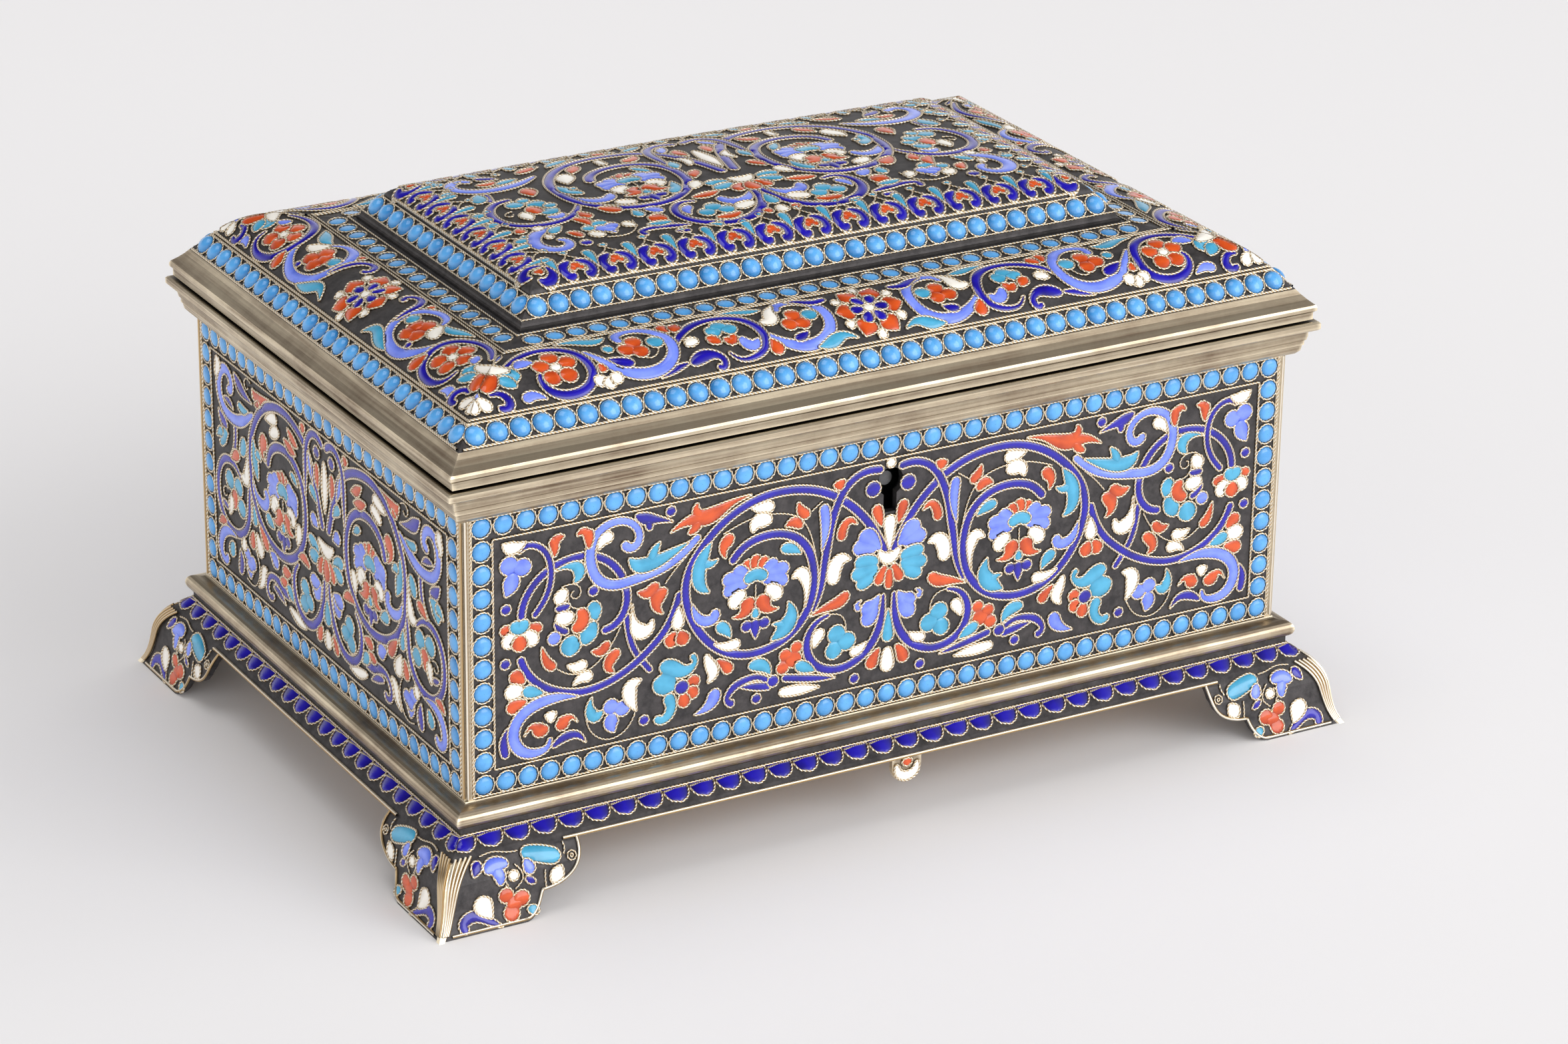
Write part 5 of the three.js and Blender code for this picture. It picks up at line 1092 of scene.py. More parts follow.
lid_side = profile_of(((0.8, 76.4), (-2.3, 79.5)), ((-2.3, 79.5), (-6.95, 84.95), (-14.6, 84.4)),
                      ((-14.6, 84.4), (-20, 85)))
band = Drawing(fullness=1.25)
band.cell("cobalt", [(-39.4, 5.6), (-36.5, 6.6), (-34, 7.2)], (0.1, 0.5, 0.2))
band.cell("periwinkle", [(-14.9, 14.2), (-14.5, 15.8), (-12.6, 16.6), (-10, 15.9), (-8.3, 14),
        (-7.6, 11.5), (-8.1, 9), (-9.9, 7.1), (-12.5, 6.3), (-15.3, 6.8), (-17.8, 8.3),
        (-19.5, 10.2)], (0.6, 0.8, 0.8, 0.85, 0.8, 0.3))
band.cell("cobalt", [(-34.8, 10.8), (-32.5, 13.2), (-30, 14.9), (-27, 15.8), (-24, 15.5),
        (-21.5, 14), (-20, 11.6), (-19.7, 9.2), (-20.8, 7.1), (-23, 6.1), (-25.4, 6.3),
        (-26.8, 7.8)], (0.3, 0.68, 0.68, 0.68, 0.5, 0.2))
band.cell("periwinkle", [(-42.6, 13.8), (-42.7, 15.8), (-41, 17), (-38.5, 16.8), (-36.3, 15),
        (-35.1, 12.3), (-35.6, 9.6), (-37.6, 7.6), (-40.5, 6.8), (-43.5, 7.3), (-46, 8.9),
        (-48, 11.3), (-49.5, 13.4)], (0.6, 0.8, 0.8, 0.85, 0.8, 0.25))
band.cell("cobalt", [(-63, 13), (-60, 14.9), (-56.6, 16.1), (-53.5, 15.6), (-51, 13.6),
        (-49.9, 10.8), (-50.1, 8.3), (-51.6, 6.5), (-54, 5.7), (-56.8, 6.2), (-58.5, 8),
        (-58.4, 10), (-57.2, 11)], (0.3, 0.68, 0.68, 0.68, 0.68, 0.2))
band.cell("cobalt", [(-5.6, 15.6), (-8.4, 15.3), (-10.4, 16.4), (-12.6, 16.9)],
        (0.5, 0.75, 0.6, 0.12))
band.cluster("orange", 1.15, (-13, 12.9), (-14.5, 10.9), (-12.2, 10.7))
band.dot("turquoise", (-10.3, 12.2), 1.15)
band.cell("white", [(-19, 12.4), (-17, 12.6), (-16.2, 14.7), (-14.7, 16.3)], (0.3, 1.0, 0.75, 0.15))
band.cell("cobalt", [(-15, 7.9), (-13.4, 8.1), (-12.1, 8.8)], (0.4, 0.65, 0.12))
band.cell("turquoise", [(-11.6, 5.7), (-9, 6.1), (-6.6, 6.9), (-4.3, 6)], (0.1, 0.9, 0.6, 0.1))
band.cell("orange", [(-19, 8.8), (-18.5, 6.9), (-18.2, 5.7)], (0.15, 1.0, 0.9))
band.cell("turquoise", [(-24.4, 17), (-21.5, 16.7), (-19, 16), (-17, 15.8)], (0.1, 0.7, 0.75, 0.12))
band.cluster("turquoise", 1.15, (-27.3, 12.4), (-25.9, 13.4), (-24.5, 12.4))
band.cell("orange", [(-29.2, 11.2), (-28, 10.5), (-27.2, 9.6)], (0.6, 0.8, 0.3))
band.cell("orange", [(-26.4, 10.6), (-25.4, 9.7), (-24.4, 11)], (0.3, 0.75, 0.4))
band.cell("periwinkle", [(-23.4, 10.2), (-23.3, 8.9), (-22, 8.2), (-20.9, 9.3)],
        (0.5, 0.85, 0.85, 0.2))
band.cell("white", [(-33, 10.3), (-31.4, 11), (-30.8, 10.5)], (0.15, 0.9, 0.4))
band.cell("cobalt", [(-33.7, 6.9), (-32.3, 7.5), (-30.5, 8), (-28.8, 7.6), (-28, 6.3), (-28.7, 5.3),
        (-29.4, 6)], (0.5, 0.9, 0.85, 0.55, 0.5, 0.4))
band.petals("orange", (-33.9, 13.2), [(-34.5, 17.1), (-31.9, 16.4)], 0.2, 0.95)
band.cluster("orange", 1.2, (-40.7, 13.6), (-42.7, 12), (-40.6, 11.2))
band.wire([(-40.6, 10.6), (-40.2, 9.6), (-38.6, 9.7), (-37.5, 11)])
band.dot("turquoise", (-37.4, 12.6), 1.2)
band.cell("cobalt", [(-42.6, 9), (-44.5, 9.7), (-46.6, 10.8)], (0.6, 0.8, 0.1))
band.cell("turquoise", [(-52.6, 17.1), (-49, 16.7), (-46.2, 15.7), (-44.3, 16.4)],
        (0.1, 0.9, 0.85, 0.12))
band.dot("turquoise", (-45.4, 12.9), 0.8)
band.cell("orange", [(-48.3, 10.2), (-47.9, 8.4)], (0.3, 0.85))
band.petals("white", (-47.9, 8.2), [(-50.1, 6.4), (-47.9, 5.4), (-45.7, 6.4)], 0.4, 0.9)
flower(band, -55.2, 11.1, 2.35, 1.25)
band.cell("periwinkle", [(-61.6, 12.3), (-59.9, 13.3), (-58, 13)], (0.2, 0.95, 0.12))
band.cell("periwinkle", [(-62.7, 6), (-61.4, 6.7), (-58.8, 5.8)], (0.7, 0.75, 0.12))
rosette(band, 11.2)
mitre_palmette(band, HALF_LENGTH)

end_band = Drawing(fullness=1.25)
end_band.cell("periwinkle", [(-20.4, 14.6), (-19, 16.2), (-16.5, 16.8), (-14, 15.7), (-12.4, 13.3),
        (-12.5, 10.4), (-14, 8.1), (-16.5, 6.9), (-19.5, 6.6), (-22.4, 7.6), (-24.7, 9.6),
        (-26.2, 12.2)], (0.3, 0.8, 0.8, 0.85, 0.8, 0.3))
end_band.cell("cobalt", [(-37.2, 14.9), (-34.5, 16.3), (-31, 16.6), (-28, 15), (-26.2, 12),
        (-26.3, 9.3), (-28, 7), (-30.6, 6), (-33.5, 6.3), (-35.4, 8), (-35.4, 10)],
        (0.3, 0.68, 0.68, 0.68, 0.25))
end_band.cell("cobalt", [(-12.2, 10.2), (-11.6, 13.2), (-10.6, 15.7), (-8.8, 16.8), (-7, 16),
        (-6.7, 14.8), (-7.9, 14.5)], (0.15, 0.6, 0.6, 0.55, 0.5))
end_band.cluster("orange", 1.3, (-18.6, 13.2), (-16.7, 12), (-17.4, 10.1), (-19.6, 10.7))
end_band.dot("turquoise", (-14.5, 12.6), 1.1)
end_band.cell("white", [(-23.6, 12.2), (-21.7, 12.9), (-20.6, 14.9)], (0.3, 1.1, 0.15))
end_band.dot("cobalt", (-20.5, 8.6), 0.6)
end_band.cell("orange", [(-12.9, 17.3), (-12.4, 15.9)], (0.9, 0.3))
end_band.cell("turquoise", [(-27.2, 17), (-25, 16), (-22.6, 15), (-20.8, 15.3)],
        (0.1, 0.85, 0.8, 0.12))
end_band.cell("turquoise", [(-16.6, 5.8), (-13, 6.6), (-10.5, 7.6), (-7.8, 5.9)],
        (0.1, 0.9, 0.75, 0.1))
end_band.cell("orange", [(-26.2, 9.2), (-25.8, 7), (-25.2, 5.6)], (0.12, 1.1, 0.9))
flower(end_band, -31.2, 11.3, 2.4, 1.3)
end_band.cell("periwinkle", [(-36.4, 12.6), (-34.9, 13.4), (-34.4, 14.3)], (0.2, 0.8, 0.3))
end_band.cell("periwinkle", [(-39.4, 5.9), (-38.2, 6.7), (-36, 5.7)], (0.6, 0.75, 0.12))
rosette(end_band, 11.2)
mitre_palmette(end_band, HALF_DEPTH)

LID_BEAD, LID_BEAD_HEIGHT, LID_BEAD_UP, LID_BEAD_BACK = 1.86, 1.0, 2.19, 0.75
LID_WIRES = ((0.3, 0.24), (4.15, 0.22), (4.75, 0.24), (17.75, 0.2), (18.4, 0.17), (22.6, 0.17))
OVAL, OVAL_HEIGHT, OVAL_UP, OVAL_BACK, OVAL_PITCH = 1.6, 0.12, 20.4, 17, 3.75
for side, art, count in (("front", band, LONG_BEADS), ("back", band, LONG_BEADS),
        ("left", end_band, SHORT_BEADS), ("right", end_band, SHORT_BEADS)):
    half = SIDES[side][2]
    place = sloping(side, lid_side)
    fill, wires = Heap(), Heap()
    fire(fill, wires, art, place)
    for up, radius in LID_WIRES:
        straight_wire(wires, (-half, up), (half, up), place, radius=radius)
    for u in (half - LID_BEAD_BACK) * (2 * np.arange(count) + 1 - count) / count:
        bead(fill, wires, u, LID_BEAD_UP, LID_BEAD, LID_BEAD_HEIGHT, place)
    ovals = int((half - OVAL_BACK) * 2 / OVAL_PITCH)
    for u in (np.arange(ovals) - (ovals - 1) / 2) * OVAL_PITCH:
        bead(fill, wires, u, OVAL_UP, OVAL, OVAL_HEIGHT, place)
    finish_plate(f"lid_{side}", "lid", fill, wires)


# The raised tray: a course of beads on its edge, a row of cobalt palmettes with orange hearts, and
# a field of scrolls over the dome like those of the walls.
TRAY_LONG, TRAY_SHORT, TRAY_FOOT = 51.6, 26.25, 89.25
SHOULDER, SHOULDER_RISE, CROWN_RISE = 7, 2.5, 2.15
FIELD_SHIFT = -2.3
TRAY_SHEET, SHEET_STEPS = 1.2, 121


def dome(x, y):
    """Height of the tray: a quarter-round shoulder, and a low crown over the middle."""
    inset = np.clip(np.minimum(TRAY_LONG - abs(x), TRAY_SHORT - abs(y)) / SHOULDER, 0, 1)
    crown = np.clip((1 - (x / TRAY_LONG) ** 2) * (1 - (y / TRAY_SHORT) ** 2), 0, 1)
    return TRAY_FOOT + SHOULDER_RISE * np.sqrt(1 - (1 - inset) ** 2) + CROWN_RISE * crown


# The columns and rows of points lie closer together towards the edges, where the shoulder bends.
steps = np.linspace(-1, 1, SHEET_STEPS)
edge_close = np.sign(steps) * (1 - (1 - np.abs(steps)) ** 1.5)
sheet_x, sheet_y = np.meshgrid(edge_close * TRAY_LONG, edge_close[::2] * TRAY_SHORT, indexing="ij")
sheet_z = dome(sheet_x, sheet_y)
sheet = Heap()
sheet.take(np.stack((sheet_x, sheet_y, sheet_z), axis=-1), grid_faces(*sheet_x.shape))
sheet.take(np.stack((sheet_x, sheet_y, sheet_z - TRAY_SHEET), axis=-1),
        grid_faces(*sheet_x.shape)[:, ::-1])
flat_sheet = np.stack((sheet_x, sheet_y), axis=-1)
rim = np.concatenate((flat_sheet[:, 0], flat_sheet[-1, 1:], flat_sheet[::-1, -1][1:],
        flat_sheet[0, ::-1][1:-1]))
rim_z = dome(rim[:, 0], rim[:, 1])
rims = np.stack([np.column_stack((rim, rim_z - depth)) for depth in (TRAY_SHEET, 0)])
sheet.take(rims, grid_faces(2, len(rim), closed_columns=True)[:, ::-1])
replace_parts(sheet.piece("tray_sheet", "lid", "enamel", [lined_plate]), "tray_dome")


def on_dome(x, y, h):
    """A point on the dome, raised along its normal."""
    step = 0.3
    slope_x = (dome(x + step, y) - dome(x - step, y)) / (2 * step)
    slope_y = (dome(x, y + step) - dome(x, y - step)) / (2 * step)
    size = np.sqrt(1 + slope_x ** 2 + slope_y ** 2)
    return np.stack((x - h * slope_x / size, y - h * slope_y / size, dome(x, y) + h / size),
            axis=-1)


def field_place(u, v, h):
    """Places the field, whose middle was laid a little to the left."""
    x = u + 0 * h
    return on_dome(x + FIELD_SHIFT * (1 - (x / TRAY_LONG) ** 2), v + 0 * h, h)


def edge_place(side):
    """A row along one edge of the tray. The second number runs in from the edge."""
    across, out = (np.array(way, float) for way in SIDES[side][:2])
    half = TRAY_SHORT if side in ("front", "back") else TRAY_LONG

    def place(u, v, h):
        flat = (u + 0 * h)[..., None] * across + (half - v + 0 * h)[..., None] * out
        return on_dome(flat[..., 0], flat[..., 1], h)

    return place


field = Drawing(fullness=1.38)
field.cell("cobalt", [(-40, 10.6), (-40.4, 8.6), (-41, 6.6)], [0.45])
field.cell("cobalt", [(-28.6, -1), (-30, -3.6), (-32.4, -5.9), (-35.4, -7), (-39.4, -6.6),
        (-42.8, -4.2), (-44, -0.4), (-43, 3.4), (-40.6, 5.6), (-37.6, 5.9)],
        (0.2, 0.65, 0.65, 0.65, 0.5))
field.cell("periwinkle", [(-28.6, 14.2), (-32, 12.4), (-36, 11.7), (-39.6, 12.3), (-42, 13.8),
        (-43.3, 16), (-42.5, 18.4), (-40.4, 18.8), (-39.2, 17.3)], (0.3, 0.85, 0.85, 0.8, 0.6))
field.cell("cobalt", [(-1, -1), (-3, 7), (-4.6, 11), (-6.6, 14), (-9.2, 16), (-13, 17.2),
        (-17, 17.5), (-21, 16.6), (-24.5, 14.6), (-27.2, 11.6), (-28.9, 8.2), (-29.4, 4.6),
        (-29.2, 0.8), (-28, -2.6), (-25.4, -5.8), (-22, -7.7), (-18, -8.4), (-14, -7.6),
        (-10.9, -5.5), (-8.6, -2.5), (-7.8, 1), (-8, 5), (-9.6, 8.3), (-12.2, 10.2), (-15.6, 10.9),
        (-19, 10.2), (-21.4, 8.3), (-22.4, 5.6)], [0.68])
field.cell("cobalt", [(-0.4, 16.8), (-2.6, 18), (-4.7, 17.7), (-6.3, 16.1), (-7.1, 13.4),
        (-7.3, 10), (-7.5, 6)], (0.6, 0.6, 0.6, 0.2))
field.cell("cobalt", [(-0.7, -8.6), (-1.1, -13), (-2.8, -16.4), (-5.9, -18.8), (-9.8, -19.4),
        (-13.8, -18.2), (-16.4, -15), (-16.2, -11.6), (-14, -9.7), (-11.5, -10.3)],
        (0.4, 0.7, 0.7, 0.65, 0.3))
field.cell("cobalt", [(-25, -18.6), (-25.4, -17.2), (-23, -16.5), (-19.6, -17.1), (-16.6, -17.9)],
        (0.5, 0.5, 0.6, 0.2))
field.wire([(-31.4, -16.4), (-28, -16.9), (-25.4, -15.2), (-24.6, -12.4)])
field.cell("periwinkle", [(-36.8, -8.6), (-40.3, -9.3), (-42.9, -12), (-43.1, -15), (-41, -17.2),
        (-38.5, -16.4), (-38.2, -14.4), (-39.4, -13.6)], (0.15, 0.85, 0.9, 0.9, 0.7, 0.5))
field.cell("turquoise", [(-36, -8.9), (-37.8, -9.8), (-38.8, -11.2)], (0.12, 0.85, 0.4))
field.dot("cobalt", (-35.6, -16.8), 0.9)
field.cell("turquoise", [(-31.8, -9.8), (-30.3, -11), (-28.6, -11.2)], (0.12, 1.0, 0.6))
field.cell("orange", [(-30.8, -5), (-30.4, -7), (-30.4, -8.4)], (0.12, 0.9, 0.9))
field.cell("orange", [(-27.2, -5.2), (-25.6, -6.7), (-24.2, -8.3)], (0.3, 1.0, 0.7))
field.cell("periwinkle", [(-29.6, -13.3), (-29.4, -15.6)], (1.1, 0.4))
field.joined("periwinkle", ((-30.7, -12.9), 1.05), ((-28.6, -12.8), 1.05), ((-29.6, -13.8), 1.0))
field.cell("white", [(-33.6, -13.9), (-32.2, -14.8), (-31.2, -15.5)], (0.3, 0.85, 0.4))
field.cell("white", [(-26.7, -12.7), (-25.8, -13.6), (-25, -14.8)], (0.8, 0.7, 0.12))
field.cell("orange", [(-21.8, -12.5), (-20.4, -13.6), (-19.2, -14.8)], (0.6, 1.3, 0.5))
field.cell("turquoise", [(-22.7, -8.9), (-22.4, -10.5), (-22.8, -11.8)], (0.12, 0.8, 0.5))
field.cell("periwinkle", [(-20.8, -9.4), (-19.2, -10.3), (-18.2, -11.6)], (0.3, 0.9, 0.5))
field.cell("periwinkle", [(-1.7, -10.2), (-3, -12.2), (-5, -12.9), (-7, -11.9), (-7.2, -10.2)],
        (0.12, 0.7, 0.85, 0.85, 0.6))
field.cell("white", [(-6.8, -15.3), (-4.8, -14.6), (-2.9, -14.3)], (0.7, 0.9, 0.5))
field.cell("orange", [(-11.6, -17.2), (-9.3, -17.5), (-6.8, -16.8)], (0.3, 0.8, 0.3))
field.cluster("turquoise", 1.25, (-12, -14.8), (-10.1, -13.3), (-8.5, -15))
field.cell("periwinkle", [(-14.8, -14.6), (-14.6, -12.6), (-13.2, -11.4)], (0.12, 0.7, 0.5))
field.cell("orange", [(-6, -8), (-8.5, -8.6), (-11.4, -8.8)], (0.12, 0.8, 0.3))
field.cell("white", [(-7.2, -2.6), (-8.2, -4), (-9.4, -5.4)], (0.7, 0.85, 0.15))
field.cell("orange", [(-4.6, 2), (-6, 0.5), (-6.6, -1.2)], (0.5, 0.8, 0.12))
field.cell("turquoise", [(-6.4, 8.3), (-6.6, 6), (-7, 4.2)], (0.12, 0.8, 0.15))
field.cell("turquoise", [(-28.2, 7.2), (-27.4, 4), (-26, 1.6)], (0.12, 1.0, 0.3))
field.cell("turquoise", [(-26.9, 4.6), (-25.7, 4.8)], (0.7, 0.3))
field.cell("white", [(-26, 7.2), (-25.2, 9.5), (-24, 12)], (0.12, 1.15, 0.9))
field.cell("periwinkle", [(-27.9, 0.4), (-26.8, -1.6), (-24.9, -2.6), (-23.1, -2.1), (-22.4, -0.6)],
        (0.12, 0.7, 0.85, 0.8, 0.6))
field.cell("turquoise", [(-11, -0.8), (-11.5, -3.3), (-13.3, -5.6)], (0.12, 0.8, 0.6))
field.cell("white", [(-23.4, -4.4), (-21.8, -5.3), (-20, -5.8)], (0.4, 0.85, 0.4))
field.cell("orange", [(-20.4, 15.2), (-21.8, 13.4), (-22.9, 11.6)], (0.6, 0.9, 0.12))
field.cell("orange", [(-12.9, 12.6), (-10.6, 13.2), (-9.4, 15)], (0.8, 0.85, 0.12))
field.cell("white", [(-16, 15.8), (-16, 14.4), (-16, 12.8)], (0.8, 0.55, 0.9))
field.cell("orange", [(-33.6, 9.4), (-33.3, 7.4), (-33.7, 5.2)], (0.8, 1.1, 0.12))
field.cell("turquoise", [(-43.2, 7.4), (-41.9, 9.3), (-41.3, 11.2)], (0.5, 1.1, 0.4))
field.dot("turquoise", (-38.2, 3.4), 1.4)
field.dot("turquoise", (-35, 1.8), 1.4)
field.dot("turquoise", (-34.6, -2.2), 1.45)
field.cell("orange", [(-37, 1.3), (-36.6, -0.6), (-36.9, -2.4)], (0.5, 1.15, 0.6))
field.cell("white", [(-38.9, -0.4), (-38.8, -2.2), (-38.8, -4.1)], (0.5, 0.9, 0.12))
field.wire([(-40, 1), (-41.2, 0.8), (-41.8, -0.3), (-41, -1), (-40.4, -0.3)])
field.cell("orange", [(-43, -6.2), (-42.9, -8.4)], (0.5, 1.0))
field.cell("white", [(-40.9, -8), (-38.7, -8)], (0.9, 0.4))
field.cell("turquoise", [(-31.8, 14.6), (-34, 14.4), (-36.2, 13.8)], (0.12, 0.75, 0.3))
field.cell("orange", [(-30.6, 17.2), (-28.4, 18), (-25.8, 18.9)], (0.3, 0.85, 0.12))
field.cell("cobalt", [(-38, 18.7), (-36.2, 17.7), (-34.4, 16.4)], (0.5, 0.75, 0.12))
for x, y in ((-45.4, 14.4), (-45.6, 2.6), (-45.6, -2.4), (-44.8, -11), (-44.6, 19.5), (-33.3, 0),
        (-36.2, 4.3), (-32.6, -12)):
    field.dot("turquoise", (x, y), 0.95)
# Small leaves and buds that fill the gaps
for kind, points, widths in (
        ("orange", [(-33, -7.2), (-31.6, -9), (-31.8, -11)], (0.4, 0.8, 0.2)),
        ("orange", [(-39.2, 15.6), (-37.2, 14.9), (-35.6, 15.5)], (0.3, 0.7, 0.3)),
        ("periwinkle", [(-36.2, -4.2), (-34.4, -5.2), (-33, -4)], (0.3, 0.7, 0.3)),
        ("white", [(-40.2, -11), (-39.6, -12.6)], (0.4, 0.7)),
        ("turquoise", [(-23.2, -15), (-21.2, -15.4), (-18.8, -15.6)], (0.2, 0.65, 0.2)),
        ("orange", [(-36.6, -11.8), (-35.4, -12.9), (-35.2, -14.6)], (0.2, 0.75, 0.4)),
        ("turquoise", [(-9.8, 17.8), (-7.8, 19), (-6, 19.4)], (0.2, 0.8, 0.3)),
        ("periwinkle", [(-5, 13), (-4.2, 15), (-3.2, 16.6)], (0.2, 0.75, 0.3)),
        ("turquoise", [(-24.6, 17.4), (-22.6, 18.7), (-19.8, 19.2)], (0.2, 0.8, 0.3)),
        ("orange", [(-12.6, 19), (-15.2, 19.6)], (0.5, 0.8)),
        ("turquoise", [(-13.6, 8.6), (-12.4, 7), (-11.4, 5)], (0.3, 0.7, 0.2)),
        ("white", [(-4.4, 4.8), (-3.6, 7), (-4.6, 9)], (0.2, 0.6, 0.2)),
        ("cobalt", [(-20.2, -19.2), (-17.6, -19.6)], (0.3, 0.6)),
        ("turquoise", [(-13.8, -18.9), (-11.6, -19.9)], (0.2, 0.7))):
    field.cell(kind, points, widths)
lotus(field, -16.6, 2.5)
field.cell("turquoise", [(-2.6, -5.2), (-4.6, -4.7), (-6.7, -4.6)], (0.5, 0.95, 0.6))
field.cell("turquoise", [(-2.4, -6), (-4.4, -6.6), (-6.4, -7.2)], (0.5, 0.95, 0.6))
field.cell("orange", [(-1.1, -6.6), (-2.4, -8.2), (-3, -9.6)], (0.4, 0.95, 0.6))
field.cell("orange", [(0, -6.4), (0, -8.6), (0, -10.2)], (0.4, 1.1, 0.7), once=True)
field.cell("white", [(-2.2, -4), (0, -5.3), (2.2, -4)], (0.2, 0.95, 0.2), once=True)
field.cell("white", [(0, 1.6), (0, 6.6), (0, 11.6)], (0.12, 0.95, 0.3), once=True)
field.cell("orange", [(-2, 9.4), (-2.6, 11.4), (-2.6, 13.6)], (0.12, 0.8, 0.5))
field.cell("turquoise", [(0, -12), (0, -14.4), (0, -16.2)], (0.15, 0.9, 1.0), once=True)
field.cell("orange", [(-2, -17.4), (-3, -18.8)], (0.5, 0.8))
field.cell("white", [(0, -16.9), (0, -19.3)], (0.6, 1.1), once=True)


def palmette_row(count, pitch):
    """Palmettes side by side: two cobalt lobes round an orange heart under a wire point, with pale
    drops between."""
    art = Drawing()
    for u in (np.arange(count) - (count - 1) / 2) * pitch:
        lobes = [([(u + turn * 0.35, 4.4), (u + turn * 1.7, 3.8), (u + turn * 2.45, 2.3),
                (u + turn * 1.75, 1.1), (u + turn * 0.75, 1.5)],
                (0.5, 0.85, 0.85, 0.8, 0.5)) for turn in (-1, 1)]
        art.joined("cobalt", *lobes, once=True)
        art.joined("orange", ((u, 3.3), 0.85), ((u - 0.7, 2.6), 0.6), ((u + 0.7, 2.6), 0.6),
                once=True)
        for turn in (-1, 1):
            art.wire([(u + turn * 3.3, 1.6), (u + turn * 3, 3.4), (u + turn * 1.5, 4.9),
                    (u + turn * 0.3, 6), (u, 7)], once=True)
        art.cell("turquoise", [(u, 6.8), (u, 7.9)], (0.4, 0.9), once=True)
    for u in (np.arange(count + 1) - count / 2) * pitch:
        art.cell("turquoise", [(u, 2.3), (u, 4.8), (u, 6.8)], (0.12, 0.8, 1.05), once=True)
    art.wires.append(np.linspace((-pitch * count / 2 - 3, 0.25), (pitch * count / 2 + 3, 0.25),
            120))
    return art


corner_palmettes = Drawing()
for turn in (-1, 1):
    corner_palmettes.cell("cobalt", [(-46.9, turn * 21.6), (-49.8, turn * 20.9),
            (-50.7, turn * 22.4), (-49.8, turn * 23.7)], (0.3, 0.9, 0.9, 0.5))
    corner_palmettes.cell("cobalt", [(-46.7, turn * 21.9), (-46.5, turn * 24.3),
            (-47.9, turn * 25.3), (-49.3, turn * 24.6)], (0.3, 0.9, 0.9, 0.5))
    corner_palmettes.cell("orange", [(-47.6, turn * 22.3), (-48.9, turn * 23.3)], (0.8, 1.0))

fill, wires = Heap(), Heap()
fire(fill, wires, field, field_place)
fire(fill, wires, corner_palmettes, on_dome)
TRAY_BEAD, TRAY_BEAD_HEIGHT, TRAY_BEAD_UP, TRAY_BEAD_BACK = 1.84, 1.05, 1.95, 22
TRAY_WIRES = ((0.1, 0.2), (3.95, 0.22))
tray_side = bezier((-20.6, 86.4), (-23.4, 89.25))
TRAY_LONG_BEADS, TRAY_SHORT_BEADS = 28, 15
LONG_PALMETTES, LONG_PITCH, SHORT_PALMETTES, SHORT_PITCH = 13, 7.0, 6, 6.6
long_row = palmette_row(LONG_PALMETTES, LONG_PITCH)
short_row = palmette_row(SHORT_PALMETTES, SHORT_PITCH)
for side, art, count in (("front", long_row, TRAY_LONG_BEADS), ("back", long_row, TRAY_LONG_BEADS),
        ("left", short_row, TRAY_SHORT_BEADS), ("right", short_row, TRAY_SHORT_BEADS)):
    fire(fill, wires, art, edge_place(side))
    half = SIDES[side][2]
    place = sloping(side, tray_side)
    for u in (half - TRAY_BEAD_BACK) * (2 * np.arange(count) + 1 - count) / count:
        bead(fill, wires, u, TRAY_BEAD_UP, TRAY_BEAD, TRAY_BEAD_HEIGHT, place)
    for up, radius in TRAY_WIRES:
        straight_wire(wires, (-half, up), (half, up), place, radius=radius)
finish_plate("tray", "lid", fill, wires)


# The apron and feet: one flared silver sheet, with a row of cobalt scales under the plinth and
# leaves, drops and a trefoil on both faces of each foot.
knee = profile_of(((1.9, 14.55), (1.9, 13.4)), ((1.9, 13.4), (4.6, 11.1), (6.92, 10.1), (7.3, 6)),
                  ((7.3, 6), (7.585, 3.9), (7.965, 1.5), (9.2, 0)))[::-1]
KNEE_LENGTH = np.hypot(*np.diff(knee, axis=0).T).sum()
SCALE_WIDTH, SCALE_TOP, SCALE_FALL, SCALE_PITCH = 2.2, 1.3, 2.8, 4.66
SCALE_INSET, SCALE_ROWS, SCALE_ROUND, SCALE_CURVE = 2.6, 7, 0.985, 2.4
SCALE_WIRE_UP, SCALE_WIRE, TOE_REACH = -1.1, 0.2, 9
APRON_EDGE, APRON_WIRE, EAR_REACH, FOOT_WIRE = -5.35, 0.3, 14, 0.27
REEDS, REED, REED_LIFT, REED_FOOT, REED_TOP, REED_STEPS = 4, 0.25, 0.32, 0.7, -4.9, 40
CURL_IN, CURL_DOWN, CURL_RADII, CURL_STEPS = 14.7, 8.2, (0.75, 0.25), 14
REED_START, REED_GAP, FLARE_START, FLARE_GAP, FLARE_POWER = 0.15, 0.3, 0.35, 0.55, 1.7
knee_run = run_along(knee) - KNEE_LENGTH
foot_edge = np.concatenate((bezier((-7, 0.4), (5.9, 0.4)),
        bezier((5.9, 0.4), (7.6, 0.6), (8.4, 2), (9.2, 4.2)),
        bezier((9.2, 4.2), (12.9, 4.3), (16.3, 5.8), (16.3, 10.6))))
foot_edge[:, 1] = np.interp(foot_edge[:, 1], knee[:, 1], knee_run)


